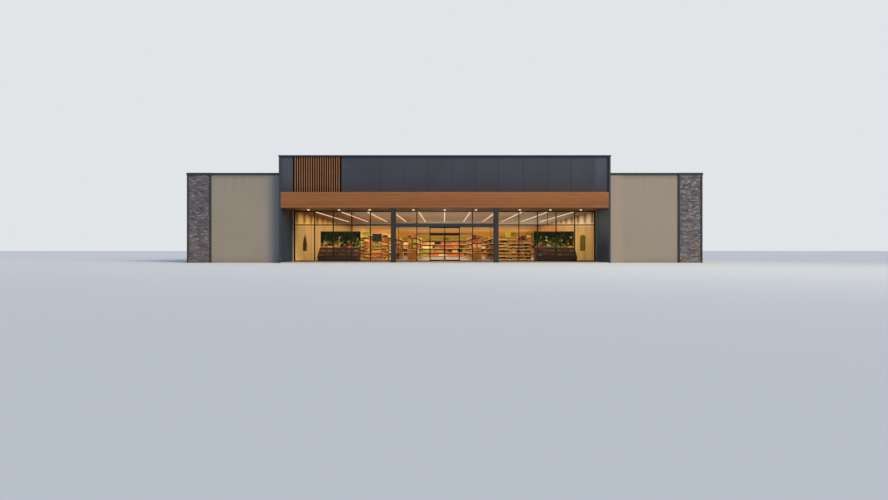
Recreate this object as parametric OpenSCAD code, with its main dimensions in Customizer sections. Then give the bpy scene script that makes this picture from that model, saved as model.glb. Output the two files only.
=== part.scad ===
// Single-storey supermarket building: a recessed glazed front under a timber-faced canopy,
// a raised dark portal above it, and lower stucco wings that end in stone-clad piers.
// The front faces -Y, +Z is up, and the origin is on the ground at the centre of the footprint.

/* [Overall] */
// Width over the outer faces of the side walls
store_w = 39930; // [33000:10:48000]
// Depth from the front of the canopy to the outer face of the rear wall
store_d = 34000; // [28000:100:41000]

/* [Main walls and roof] */
// Thickness of the outer masonry walls
wall_t = 200; // [150:10:300]
// Height of the wings, to the top of their coping
wing_h = 6970; // [5700:10:8500]
// Distance of the wing fronts behind the front of the canopy
wing_setback = 900; // [500:50:1500]
// Height of the wing coping above its wall
coping_h = 150; // [80:10:250]
// Overhang of every coping past the wall under it
coping_lip = 30; // [15:5:60]
// Drop of the drip edge of every coping down the wall
coping_drip = 30; // [15:5:60]
// Thickness of the drip edge
coping_edge_t = 6; // [3:1:10]
// Fall of the top of every coping towards the roof
coping_fall = 15; // [5:5:30]
// Open joint between two lengths of coping
coping_joint = 4; // [2:1:10]
// Level of the flat roofs below the top of the coping round them
parapet_h = 600; // [300:50:900]
// Thickness of the roof build-up at its highest line
deck_t = 250; // [200:10:400]
// Fall of each flat roof to its lower edge
roof_fall = 120; // [40:10:150]
// Height of the floor slabs above the ground
floor_z = 50; // [20:5:150]

/* [Stone piers] */
// Width of a pier over its metal corner trims
pier_w = 1880; // [1200:10:2600]
// Projection of a pier from the wing front
pier_proj = 60; // [40:10:450]
// Width of the metal corner trims on a pier
trim_w = 135; // [60:5:200]
// Projection of the corner trims past the stone
trim_proud = 15; // [10:5:40]

/* [Portal] */
// Width over the outer faces of the portal fins
portal_w = 25240; // [20000:20:31000]
// Rise of the portal above the wings
portal_rise = 1230; // [800:10:2000]
// Depth of the raised portal, front to rear
portal_d = 6000; // [5200:100:8000]
// Thickness of the fins and of the portal rear wall
fin_t = 150; // [100:10:300]
// Height of the portal coping above its walls
portal_coping_h = 60; // [40:10:200]
// Width of the metal panels that clad the fins and the portal rear wall
panel_w = 1190; // [800:10:1600]
// Width of the seam between two panels
seam_w = 14; // [8:2:24]
// Depth of the seam between two panels
seam_d = 10; // [5:1:15]
// Distance of the fascia face behind the canopy front
fascia_inset = 120; // [60:10:200]
// Thickness of the fascia cladding sheets
sheet_t = 40; // [20:5:80]
// Open joint between two cladding sheets
sheet_joint = 12; // [6:2:30]
// Width of the folded bevel along both edges of a sheet
sheet_bevel = 5; // [2:1:10]
// Thickness of the wall behind the cladding
backing_t = 150; // [100:10:250]
// Width of the plain sheet at the left end of the fascia
left_sheet_w = 890; // [500:10:1200]
// Width of the plain sheet at the right end of the fascia
right_sheet_w = 980; // [500:10:1200]
// Width of the sheets in the rest of the fascia
sheet_w = 1830; // [1200:10:3200]

/* [Timber slats] */
// Number of upright slats
slat_count = 20; // [8:1:26]
// Distance between slat centres
slat_pitch = 176; // [140:2:220]
// Width of a slat
slat_w = 66; // [50:2:130]
// Depth of a slat
slat_d = 90; // [40:5:110]
// Width of the bevel along the front edges of a slat
slat_bevel = 8; // [3:1:15]
// Clear strip between the outer slats and the sheets beside them
slat_margin = 150; // [60:10:300]

/* [Canopy and portico] */
// Height of the soffit above the ground
soffit_z = 4200; // [3500:50:5100]
// Height of the timber-faced canopy beam
canopy_h = 1205; // [900:5:1600]
// Thickness of the canopy beam, front to rear
canopy_t = 310; // [200:10:500]
// Width of the boards on the face of the canopy beam
face_board_w = 240; // [120:10:300]
// Thickness of the soffit boarding
soffit_t = 40; // [20:5:80]
// Width of the boards of the soffit
soffit_board_w = 145; // [90:5:200]
// Width of the groove between two boards
board_groove = 8; // [4:1:12]
// Distance of the glazed front behind the canopy front
recess = 3700; // [2800:50:4500]
// Side of the two square columns
column_w = 380; // [200:10:450]
// Distance of a column's axis from the centre line
column_x = 3910; // [3000:10:4700]
// Height of the collars at the foot and the head of a column
collar_h = 90; // [50:10:200]
// Projection of the collars from the shaft
collar_proud = 20; // [10:5:30]
// Side of the square recess down each corner of the shaft
corner_recess = 22; // [10:2:40]

/* [Downlights] */
// Distance of the row of downlights behind the canopy front
downlight_set = 1500; // [900:50:2600]
// Diameter of the trim ring of a downlight
downlight_d = 270; // [200:10:350]
// Thickness of the trim ring of a downlight
downlight_h = 18; // [12:1:40]
// Width of the trim ring round the bowl of a downlight
downlight_ring = 26; // [15:1:40]
// Depth of the bowl of a downlight below its trim ring
bowl_h = 95; // [40:5:140]
// First downlight each side of the centre one
downlight_first = 2460; // [1800:20:3000]
// First downlight outside the column
downlight_outer = 5900; // [5000:20:6500]
// Distance between the outer downlights
downlight_pitch = 2400; // [1800:20:3000]

/* [Glazed front] */
// Width of the aluminium posts and jambs
post_w = 70; // [50:5:100]
// Depth of the aluminium frame, front to rear
frame_d = 150; // [100:10:200]
// Height of the sill, head and transom rails
rail_h = 80; // [50:5:120]
// Level of the top of the transom above the ground
transom_top = 3090; // [2800:10:3400]
// Width of the bevel along the edges of the aluminium bars
bar_bevel = 4; // [2:1:8]
// Thickness of the glass units
glass_t = 24; // [10:1:40]
// Depth that a glass unit is let into the bars round it
glass_bite = 15; // [8:1:20]
// Distance between the posts of the two wide bays beside the entrance
wide_bay = 1905; // [1400:5:2300]
// Distance between the posts of the regular bays
bay_w = 1530; // [1100:10:2000]

/* [Entrance] */
// Clear width between the door posts
doorway_w = 2350; // [1800:10:2900]
// Level of the underside of the door head above the ground
door_head_z = 2220; // [2050:10:2500]
// Height of the door head rail
door_head_h = 170; // [120:10:250]
// Clear width of the fixed light beside the doorway
sidelite_w = 1010; // [900:10:1400]
// Height of the header beam over the whole entrance
header_h = 295; // [180:5:360]
// Rise of the header beam above the transoms beside it
header_rise = 85; // [40:5:150]
// Depth of the header beam, front to rear
header_d = 210; // [160:10:300]
// Width of the mullion over the door head
mullion_w = 60; // [50:5:100]

/* [Sliding doors] */
// Thickness of a door leaf
leaf_t = 45; // [35:1:60]
// Width of the stiles of a leaf
stile_w = 60; // [40:5:90]
// Height of the top rail of a leaf
leaf_top_rail = 80; // [50:5:120]
// Height of the bottom rail of a leaf
leaf_bottom_rail = 120; // [80:5:180]
// Thickness of the glass in a leaf
leaf_glass_t = 10; // [6:1:20]
// Depth that the glass is let into the stiles and rails of a leaf
leaf_bite = 12; // [6:1:18]
// Width of the sloping glazing bead round the glass of a leaf
bead_w = 10; // [4:1:14]
// Gap between the two closed leaves
meeting_gap = 10; // [6:1:20]
// Lap of a closed leaf behind its door post
leaf_lap = 45; // [20:5:60]
// Gap between a leaf and the posts, and between the leaf and the floor
leaf_clear = 15; // [8:1:30]
// Lap of the leaf behind the door head
leaf_rise = 42; // [20:2:60]
// Radius of a hanger wheel
wheel_r = 20; // [14:1:24]
// Width of a hanger wheel
wheel_t = 14; // [13:1:16]
// Distance between the two wheels of a hanger
wheel_spacing = 64; // [54:2:90]
// Radius of the round rail that the wheels run on
rail_r = 5; // [3:0.5:5.5]
// Running gap between the rail and the groove of a wheel
wheel_gap = 0.3; // [0.2:0.1:1]
// Length of a hanger plate along the leaf
hanger_l = 150; // [120:5:200]
// Thickness of a hanger plate
hanger_t = 8; // [5:1:12]
// Thickness of the track back plate
track_t = 20; // [10:1:30]
// Thickness of the ledge that carries the rail
ledge_t = 12; // [8:1:20]
// Gap between a moving leaf part and the fixed track
track_clear = 8; // [6:1:12]
// Gap between a floor guide and each side of the groove it stands in
guide_clear = 5; // [3:0.5:7]
// Thickness of the sheet of the hood over the track
hood_t = 4; // [3:1:8]
// Width of the sloping fold along the top of the hood
hood_fold = 12; // [4:1:14]

/* [Hall] */
// Thickness of the wall panelling in the hall
lining_t = 30; // [15:5:60]
// Distance between the upright ribs of the panelling
rib_pitch = 2660; // [1200:10:3500]
// Distance from the glazed front to the middle of the first rib
rib_first = 1100; // [600:50:2000]
// Width of the ribs
rib_w = 160; // [80:10:300]
// Projection of the ribs from the panelling
rib_d = 40; // [20:5:60]
// Thickness of the hall ceiling
ceiling_t = 40; // [20:5:80]
// Distance between the rows of ceiling lights
light_pitch = 2160; // [1500:20:3000]
// Width of a row of ceiling lights
light_w = 80; // [60:10:200]
// Height of a row of ceiling lights
light_h = 60; // [30:5:120]
// Distance of the ceiling lights from the front glass and, at least, from the rear wall
light_margin = 900; // [300:50:2000]
// Length of a row of ceiling lights
light_l = 17000; // [8000:500:26000]

/* [Shelving and displays] */
// Number of shelving rows on each side of the centre aisle
row_count = 3; // [1:1:3]
// Distance of the first row from the centre line
row_first = 3000; // [2200:50:3600]
// Distance between shelving rows
row_pitch = 2300; // [1900:50:2500]
// Length of a shelving row
row_l = 16000; // [9000:500:16500]
// Distance of the shelving rows behind the produce stands
row_offset = 1500; // [1000:100:3000]
// Height of a shelving row
row_h = 2100; // [1400:50:2400]
// Depth of a shelf on one side of a row
shelf_d = 420; // [300:10:500]
// Number of shelves above the plinth on each side
shelf_count = 4; // [2:1:5]
// Distance of the produce stands behind the front glass
stand_offset = 3200; // [2600:100:4000]
// Width of a produce stand
stand_w = 3600; // [2500:100:4000]
// Distance of the right-hand stand from the panelling
stand_clear_right = 800; // [400:10:1500]
// Distance of the left-hand stand from the panelling
stand_clear_left = 1270; // [400:10:1500]
// Height of the backboard over a produce stand
board_h = 1570; // [900:10:1700]
// Width of the frame round a backboard
board_frame = 70; // [40:5:120]
// Height of the shelving along the rear wall
wall_shelving_h = 2150; // [1400:50:2200]

/* [Hidden] */
$fn = 48;

// Planes from front to rear
front_y = -store_d / 2;
rear_y = store_d / 2;
fascia_y = front_y + fascia_inset;
backing_y = fascia_y + sheet_t;
wing_y = front_y + wing_setback;
pier_y = wing_y - pier_proj;
glass_y = front_y + recess;
frame_y0 = glass_y - frame_d / 2;
frame_y1 = glass_y + frame_d / 2;
portal_rear_y = front_y + portal_d;
hall_rear_y = rear_y - wall_t;

// Planes from the centre line outwards
side_x = store_w / 2;
room_x = side_x - wall_t;
fin_x = portal_w / 2;
hall_x = fin_x - fin_t;
pier_x = side_x - pier_w;

// Levels
portal_h = wing_h + portal_rise;
wall_top = wing_h - coping_h;
deck_top = wing_h - parapet_h;
deck_z = deck_top - deck_t;
portal_wall_top = portal_h - portal_coping_h;
portal_deck_top = portal_h - parapet_h;
portal_deck_z = portal_deck_top - deck_t;
canopy_top = soffit_z + canopy_h;
head_z = soffit_z - rail_h;
transom_z = transom_top - rail_h;
header_top = transom_top + header_rise;
header_z = header_top - header_h;
overlight_z = header_z - rail_h;
door_head_top = door_head_z + door_head_h;
floor_nosing = 15;
trim_fold = 5;
ring_edge = 6;
bowl_steps = 4;
bowl_turn = 20;
header_step = 60;

// Posts of the glazed front, by their axes, on one side of the centre line
door_post_x = doorway_w / 2 + post_w / 2;
side_post_x = door_post_x + sidelite_w + post_w;
first_wide_x = side_post_x + wide_bay;
second_wide_x = first_wide_x + wide_bay;
jamb_x = hall_x - post_w / 2;
regular_bays = max(1, round((jamb_x - second_wide_x) / bay_w));
side_posts = concat(
    [side_post_x, first_wide_x],
    [for (i = [0 : regular_bays - 1]) second_wide_x + i * bay_w],
    [jamb_x]
);

// Fascia sheets and slats
slat_field_w = (slat_count - 1) * slat_pitch + slat_w + 2 * slat_margin;
slat_field_x0 = -hall_x + left_sheet_w;
slat_field_x1 = slat_field_x0 + slat_field_w;
sheet_field_x1 = hall_x - right_sheet_w;
sheet_count = max(1, floor((sheet_field_x1 - slat_field_x1) / sheet_w));
first_seam_x = sheet_field_x1 - (sheet_count - 1) * sheet_w;
sheet_starts = concat([slat_field_x1], [for (i = [0 : sheet_count - 1]) first_seam_x + i * sheet_w]);
tongue_gap = 2;

// Sliding doors, by the right-hand leaf
leaf_x0 = meeting_gap / 2;
leaf_x1 = doorway_w / 2 + leaf_lap;
leaf_y0 = frame_y1 + leaf_clear;
leaf_y1 = leaf_y0 + leaf_t;
leaf_z0 = floor_z + leaf_clear;
leaf_z1 = door_head_z + leaf_rise;
leaf_w = leaf_x1 - leaf_x0;
leaf_mid_y = (leaf_y0 + leaf_y1) / 2;
track_x = side_post_x + post_w / 2;
track_lift = 38;
ledge_z = leaf_z1 + track_lift;
ledge_y1 = leaf_y1 - track_clear;
flange_clear = 1.5;
wheel_run = wheel_r + flange_clear;
wheel_z = ledge_z + ledge_t + wheel_run;
wheel_inset = 3;
wheel_y1 = ledge_y1 - wheel_inset;
wheel_y0 = wheel_y1 - wheel_t;
axle_r = 5;
hanger_drop = 80;
hanger_rise = 15;
hanger_shoulder = 22;
hanger_top = wheel_z + hanger_rise;
hanger_inset = leaf_w / 5;
leaf_bevel = 3;
track_top = max(hanger_top, wheel_z + wheel_r) + track_clear;
hood_y1 = leaf_y1 + hanger_t + track_clear + hood_t;
hood_z0 = leaf_z1 + track_clear;
hood_top = track_top + hood_t;
guide_t = 6;
guide_w = 34;
guide_foot_w = 40;
guide_foot_t = 3;
guide_rise = 14;
guide_h = leaf_clear + guide_rise;
groove_w = guide_t + 2 * guide_clear;
groove_h = guide_rise + track_clear;
cut = 1;

// Rows of ceiling lights each side of the centre one
light_rows = floor((hall_x - lining_t - rib_d - light_w) / light_pitch);
light_bevel = 18;

// Shelving and produce stands
spine_t = 60;
plinth_h = 150;
toe_h = 100;
toe_d = 40;
shelf_t = 30;
bracket_h = 65;
shelf_lip_h = 20;
shelf_lip_t = 12;
stand_h = 1050;
stand_step_h = 350;
stand_step_d = 450;
stand_steps = floor(stand_h / stand_step_h);
stand_lip_h = 45;
stand_lip_t = 22;
board_t = 60;
board_recess = 18;
stand_y0 = frame_y1 + stand_offset;
board_y0 = stand_y0 + stand_steps * stand_step_d;
board_y1 = board_y0 + board_t;
row_y0 = board_y1 + row_offset;
band_t = 80;
band_z = 2620;
band_bevel = 15;
cornice_h = 180;
cornice_d = 140;
cornice_lip = 30;
cornice_z = soffit_z - cornice_h;
strip_t = 50;
strip_z = 2300;
strip_h = 270;

// Level of the top of the flat roof over hall and wings, at a distance from the centre line
function roof_z(x) = deck_top - roof_fall * abs(x) / room_x;

// Outline of a rectangle with its corners cut off
function bevelled(u, v, c) = [
    [u[0] + c, v[0]], [u[1] - c, v[0]], [u[1], v[0] + c], [u[1], v[1] - c],
    [u[1] - c, v[1]], [u[0] + c, v[1]], [u[0], v[1] - c], [u[0], v[0] + c]
];

// Outline of a rectangle with only the two corners of its first V edge cut off
function half_bevelled(u, v, c) = [
    [u[0] + c, v[0]], [u[1] - c, v[0]], [u[1], v[0] + c], [u[1], v[1]], [u[0], v[1]], [u[0], v[0] + c]
];

// Box between two corners, given as ranges along X, Y and Z
module block(x, y, z) {
    translate([x[0], y[0], z[0]])
        cube([x[1] - x[0], y[1] - y[0], z[1] - z[0]]);
}

// Rectangle between two corners of a section or plan
module area(u, v) {
    translate([u[0], v[0]])
        square([u[1] - u[0], v[1] - v[0]]);
}

// Extrudes a section drawn in Y and Z along a range of X
module along_x(x) {
    translate([x[0], 0, 0])
        rotate([90, 0, 90])
            linear_extrude(height = x[1] - x[0]) children();
}

// Extrudes a section drawn in X and Z along a range of Y
module along_y(y) {
    translate([0, y[1], 0])
        rotate([90, 0, 0])
            linear_extrude(height = y[1] - y[0]) children();
}

// Extrudes a plan drawn in X and Y up a range of Z
module upright(z) {
    translate([0, 0, z[0]])
        linear_extrude(height = z[1] - z[0]) children();
}

// Places what is drawn for the right-hand side on either side of the centre line
module on_side(side) {
    mirror([side < 0 ? 1 : 0, 0, 0]) children();
}

// Draws the same thing on both sides of the centre line
module both_sides() {
    for (side = [-1, 1]) on_side(side) children();
}

// Space in front of a panel with four sides that slope in at 45 degrees from y[0] to y[1]
module splay(x, y, z) {
    d = abs(y[1] - y[0]);
    intersection() {
        upright([z[0] - d, z[1] + d])
            polygon([[x[0] - d, y[0]], [x[1] + d, y[0]], [x[1], y[1]], [x[0], y[1]]]);
        along_x([x[0] - d, x[1] + d])
            polygon([[y[0], z[0] - d], [y[0], z[1] + d], [y[1], z[1]], [y[1], z[0]]]);
    }
}

// Ground floor: one slab through hall and portico, and one in each wing
module floor_slabs() {
    color([0.62, 0.60, 0.57]) {
        along_x([-hall_x, hall_x])
            polygon([
                [front_y, 0], [hall_rear_y, 0], [hall_rear_y, floor_z],
                [front_y + floor_nosing, floor_z], [front_y, floor_z - floor_nosing]
            ]);
        both_sides()
            block([fin_x, room_x], [wing_y + wall_t, hall_rear_y], [0, floor_z]);
    }
}

// Stucco front of one wing, from the portal fin to the side wall
module front_wall(side) {
    color([0.60, 0.56, 0.50])
        on_side(side)
            block([fin_x, side_x], [wing_y, wing_y + wall_t], [0, wall_top]);
}

module side_wall(side) {
    color([0.60, 0.56, 0.50])
        on_side(side)
            block([room_x, side_x], [wing_y + wall_t, hall_rear_y], [0, wall_top]);
}

module rear_wall() {
    color([0.60, 0.56, 0.50])
        block([-side_x, side_x], [hall_rear_y, rear_y], [0, wall_top]);
}

// Wall between the hall and one wing, which carries the roof in line with the fin
module hall_wall(side) {
    color([0.72, 0.66, 0.56])
        on_side(side)
            block([hall_x, fin_x], [portal_rear_y, hall_rear_y], [0, deck_z]);
}

// Stone cladding of a pier, between the side legs of its corner trims
module stone_pier(side) {
    color([0.40, 0.38, 0.38])
        on_side(side)
            block([pier_x + trim_proud, side_x - trim_proud], [pier_y, wing_y], [0, wall_top]);
}

// Angle-shaped metal trims that wrap both corners of each pier
module pier_trims() {
    color([0.24, 0.25, 0.26])
        both_sides()
            upright([0, wall_top]) {
                translate([pier_x, pier_y - trim_proud]) trim_plan();
                translate([side_x, pier_y - trim_proud]) mirror([1, 0]) trim_plan();
            }
}

// Plan of one corner trim, with its corner at the origin
module trim_plan() {
    leg_d = wing_y - pier_y + trim_proud;
    polygon([
        [trim_fold, 0], [trim_w, 0], [trim_w, trim_proud], [trim_proud, trim_proud],
        [trim_proud, leg_d], [0, leg_d], [0, trim_fold]
    ]);
}

// Section of a coping before it is hollowed over its wall: level below, falling towards the roof
module coping_section(outer, inner, low, top) {
    polygon([[outer, low], [inner, low], [inner, top - coping_fall], [outer, top]]);
}

// Plan of the parapets of the wings and the hall, grown by a margin
module parapet_plan(grow) {
    both_sides() {
        area([fin_x - cut, side_x + grow], [wing_y - grow, wing_y + wall_t + grow]);
        area([pier_x - grow, side_x + grow], [pier_y - grow, wing_y]);
        area([room_x - grow, side_x + grow], [wing_y, rear_y + grow]);
    }
    area([-side_x - grow, side_x + grow], [hall_rear_y - grow, rear_y + grow]);
}

// Metal coping of the wings, in straight lengths with open joints and a drip edge down each side
module wing_coping() {
    low = wall_top - coping_drip;
    pier_x0 = pier_x - coping_lip;
    inner_y = wing_y + wall_t + coping_lip;
    rear_edge = hall_rear_y - coping_lip;
    color([0.22, 0.23, 0.24])
        difference() {
            union() {
                both_sides() {
                    along_x([fin_x, pier_x0 - coping_joint])
                        coping_section(wing_y - coping_lip, inner_y, low, wing_h);
                    along_x([pier_x0, side_x + coping_lip])
                        coping_section(pier_y - coping_lip, inner_y, low, wing_h);
                    along_y([inner_y + coping_joint, rear_edge - coping_joint])
                        coping_section(side_x + coping_lip, room_x - coping_lip, low, wing_h);
                }
                along_x([-side_x - coping_lip, side_x + coping_lip])
                    coping_section(rear_y + coping_lip, rear_edge, low, wing_h);
            }
            upright([low - cut, wall_top]) parapet_plan(coping_lip - coping_edge_t);
        }
}

// Flat roof behind the portal, falling from the centre line to both side walls
module main_roof_deck() {
    color([0.55, 0.55, 0.54])
        along_y([portal_rear_y, hall_rear_y])
            polygon([
                [-room_x, deck_z], [room_x, deck_z],
                [room_x, roof_z(room_x)], [0, roof_z(0)], [-room_x, roof_z(room_x)]
            ]);
}

// Flat roofs beside and inside the raised portal
module front_roof_decks() {
    color([0.55, 0.55, 0.54]) {
        block([-hall_x, hall_x], [frame_y1, portal_rear_y], [deck_z, deck_top]);
        both_sides()
            along_y([wing_y + wall_t, portal_rear_y])
                polygon([
                    [fin_x, deck_z], [room_x, deck_z], [room_x, roof_z(room_x)], [fin_x, roof_z(fin_x)]
                ]);
    }
}

// Metal-clad fin at one side of the portal, with upright seams between its panels
module portal_fin(side) {
    color([0.25, 0.26, 0.28])
        on_side(side)
            upright([0, portal_wall_top])
                difference() {
                    polygon(half_bevelled([hall_x, fin_x], [front_y, portal_rear_y], seam_d));
                    for (y = [front_y + panel_w : panel_w : portal_rear_y - panel_w / 2])
                        for (x = [hall_x, fin_x])
                            seam([x, y], [seam_d, seam_w / 2]);
                }
}

// Plan of a seam between two panels, round a point of their face
module seam(place, reach) {
    translate(place)
        area([-reach[0], reach[0]], [-reach[1], reach[1]]);
}

// Rear wall of the portal, with the same seams on its outer face
module portal_rear_wall() {
    panels = max(1, round(2 * hall_x / panel_w));
    pitch = 2 * hall_x / panels;
    color([0.26, 0.27, 0.30])
        upright([deck_top, portal_wall_top])
            difference() {
                area([-hall_x, hall_x], [portal_rear_y - fin_t, portal_rear_y]);
                for (i = [1 : panels - 1])
                    seam([-hall_x + i * pitch, portal_rear_y], [seam_w / 2, seam_d]);
            }
}

// Roof of the portal, falling from the fascia to the rear wall
module portal_roof_deck() {
    y = [backing_y + backing_t, portal_rear_y - fin_t];
    color([0.55, 0.55, 0.54])
        along_x([-hall_x, hall_x])
            polygon([
                [y[0], portal_deck_z], [y[1], portal_deck_z],
                [y[1], portal_deck_top - roof_fall], [y[0], portal_deck_top]
            ]);
}

// Plan of the walls of the portal, grown by a margin
module portal_plan(grow) {
    difference() {
        area([-fin_x - grow, fin_x + grow], [front_y - grow, portal_rear_y + grow]);
        area([-hall_x + grow, hall_x - grow], [backing_y + backing_t + grow, portal_rear_y - fin_t - grow]);
    }
}

// Metal coping round the top of the raised portal, in four lengths with open joints
module portal_coping() {
    low = portal_wall_top - coping_drip;
    x = [-fin_x - coping_lip, fin_x + coping_lip];
    front_edge = backing_y + backing_t + coping_lip;
    rear_edge = portal_rear_y - fin_t - coping_lip;
    color([0.17, 0.19, 0.23])
        difference() {
            union() {
                along_x(x) coping_section(front_y - coping_lip, front_edge, low, portal_h);
                along_x(x) coping_section(portal_rear_y + coping_lip, rear_edge, low, portal_h);
                both_sides()
                    along_y([front_edge + coping_joint, rear_edge - coping_joint])
                        coping_section(fin_x + coping_lip, hall_x - coping_lip, low, portal_h);
            }
            upright([low - cut, portal_wall_top]) portal_plan(coping_lip - coping_edge_t);
        }
}

// Wall over the glazed front that carries the edges of both roofs
module lintel_wall() {
    color([0.50, 0.48, 0.45])
        block([-hall_x, hall_x], [frame_y0, frame_y1], [soffit_z, portal_deck_z]);
}

// Wall behind the fascia sheets and slats, standing on the canopy beam
module fascia_wall() {
    color([0.22, 0.13, 0.07])
        block(
            [-hall_x, hall_x],
            [backing_y, backing_y + backing_t],
            [canopy_top, portal_wall_top]
        );
}

// Dark folded sheets beside the slats, each with a tongue behind the joint that follows it
module fascia_sheets() {
    last = len(sheet_starts) - 1;
    color([0.27, 0.28, 0.31])
        upright([canopy_top, portal_wall_top]) {
            sheet_plan([-hall_x, slat_field_x0], false);
            for (i = [0 : last - 1])
                sheet_plan([sheet_starts[i], sheet_starts[i + 1] - sheet_joint], true);
            sheet_plan([sheet_starts[last], hall_x], false);
        }
}

// Plan of one fascia sheet over a range of X, with or without its tongue
module sheet_plan(x, tongue) {
    polygon(half_bevelled(x, [fascia_y, backing_y], sheet_bevel));
    if (tongue)
        area([x[1] - cut, x[1] + sheet_joint - tongue_gap], [backing_y - sheet_t / 2, backing_y]);
}

// Row of upright timber slats at the left end of the fascia
module timber_slats() {
    first_x = slat_field_x0 + slat_margin;
    color([0.45, 0.28, 0.17])
        upright([canopy_top, portal_wall_top])
            for (i = [0 : slat_count - 1])
                translate([first_x + i * slat_pitch, 0])
                    polygon(half_bevelled([0, slat_w], [backing_y - slat_d, backing_y], slat_bevel));
}

// Canopy beam, faced with boards that have a V-shaped groove between them
module canopy_beam() {
    boards = max(1, round(canopy_h / face_board_w));
    pitch = canopy_h / boards;
    g = board_groove / 2;
    color([0.58, 0.37, 0.24])
        along_x([-hall_x, hall_x])
            polygon(concat(
                [[front_y + canopy_t, soffit_z], [front_y + canopy_t, canopy_top]],
                [[front_y + g, canopy_top], [front_y, canopy_top - g]],
                [for (i = [boards - 1 : -1 : 1], v = [1, 0, -1])
                    [front_y + (v == 0 ? g : 0), soffit_z + i * pitch + v * g]],
                [[front_y, soffit_z + g], [front_y + g, soffit_z]]
            ));
}

// Boarded soffit between the canopy beam and the glazed front
module canopy_soffit() {
    y = [front_y + canopy_t, frame_y0];
    boards = max(1, round((y[1] - y[0]) / soffit_board_w));
    pitch = (y[1] - y[0]) / boards;
    g = board_groove / 2;
    color([0.36, 0.24, 0.15])
        along_x([-hall_x, hall_x])
            polygon(concat(
                [[y[1], soffit_z], [y[1], soffit_z + soffit_t]],
                [[y[0], soffit_z + soffit_t], [y[0], soffit_z]],
                [for (i = [1 : boards - 1], v = [-1, 0, 1])
                    [y[0] + i * pitch + v * g, soffit_z + (v == 0 ? g : 0)]]
            ));
}

// Round downlights in one row under the soffit
module soffit_downlights() {
    outer_x = [for (x = downlight_outer; x < hall_x - downlight_d; x = x + downlight_pitch) x];
    right_x = concat([downlight_first], outer_x);
    color([1.0, 0.92, 0.75])
        for (x = concat([0], right_x, -right_x))
            translate([x, front_y + downlight_set, soffit_z]) downlight();
}

// One downlight: a bevelled trim ring round an opal bowl that narrows downwards
module downlight() {
    r = downlight_d / 2;
    bowl_r = r - downlight_ring;
    tip_z = -downlight_h - bowl_h * sin(bowl_steps * bowl_turn);
    rotate_extrude()
        polygon(concat(
            [[0, 0], [r, 0], [r, -ring_edge], [r - ring_edge, -downlight_h], [bowl_r, -downlight_h]],
            [for (i = [1 : bowl_steps])
                [bowl_r * cos(i * bowl_turn), -downlight_h - bowl_h * sin(i * bowl_turn)]],
            [[0, tip_z]]
        ));
}

// Square columns with a collar at foot and head and a recess down each corner
module portico_columns() {
    half = column_w / 2;
    shaft = [floor_z + collar_h + collar_proud, soffit_z - collar_h - collar_proud];
    color([0.22, 0.20, 0.18])
        both_sides()
            translate([column_x, front_y + half + collar_proud, 0])
                difference() {
                    intersection() {
                        along_x([-column_w, column_w]) column_section();
                        along_y([-column_w, column_w]) column_section();
                    }
                    upright(shaft)
                        for (u = [-half, half], v = [-half, half])
                            translate([u, v])
                                square(2 * corner_recess, center = true);
                }
}

// Side view of a column, the same from the front and from the side
module column_section() {
    half = column_w / 2;
    collar = half + collar_proud;
    foot = floor_z + collar_h;
    head = soffit_z - collar_h;
    polygon([
        [-collar, floor_z], [collar, floor_z], [collar, foot], [half, foot + collar_proud],
        [half, head - collar_proud], [collar, head], [collar, soffit_z], [-collar, soffit_z],
        [-collar, head], [-half, head - collar_proud], [-half, foot + collar_proud], [-collar, foot]
    ]);
}

// Upright aluminium bar round an axis, with bevelled edges
module post(x, z) {
    upright(z) polygon(bevelled([x - post_w / 2, x + post_w / 2], [frame_y0, frame_y1], bar_bevel));
}

// Level aluminium bar with bevelled edges
module rail(x, z) {
    along_x(x) polygon(bevelled([frame_y0, frame_y1], z, bar_bevel));
}

// Aluminium frame of one side of the glazed front: posts, sill, transom and head round the glass
module shopfront_frame(side) {
    x = [first_wide_x - post_w / 2, jamb_x + post_w / 2];
    color([0.12, 0.11, 0.10])
        on_side(side)
            difference() {
                union() {
                    for (i = [1 : len(side_posts) - 1])
                        post(side_posts[i], [floor_z, soffit_z]);
                    for (z = [floor_z, transom_z, head_z])
                        rail(x, [z, z + rail_h]);
                }
                shopfront_panes();
                entrance_panes();
            }
}

module shopfront_glass(side) {
    color([0.75, 0.85, 0.88, 0.35])
        on_side(side) shopfront_panes();
}

// Glass units of the right-hand side, one below and one above the transom in each bay
module shopfront_panes() {
    for (i = [1 : len(side_posts) - 2])
        for (z = [[floor_z + rail_h, transom_z], [transom_top, head_z]])
            pane([side_posts[i] + post_w / 2, side_posts[i + 1] - post_w / 2], z);
}

// Glass unit in the plane of the glazed front, let into the bars round a clear opening
module pane(x, z) {
    block(
        [x[0] - glass_bite, x[1] + glass_bite],
        [glass_y - glass_t / 2, glass_y + glass_t / 2],
        [z[0] - glass_bite, z[1] + glass_bite]
    );
}

// Posts of the entrance, below and above the header beam, and the mullion over the door head
module entrance_posts() {
    color([0.12, 0.11, 0.10])
        difference() {
            union() {
                both_sides() {
                    for (x = [door_post_x, side_post_x])
                        post(x, [floor_z, header_z]);
                    post(side_post_x, [header_top, head_z]);
                }
                block([-mullion_w / 2, mullion_w / 2], [frame_y0, frame_y1], [door_head_top, overlight_z]);
            }
            entrance_panes();
        }
}

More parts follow.
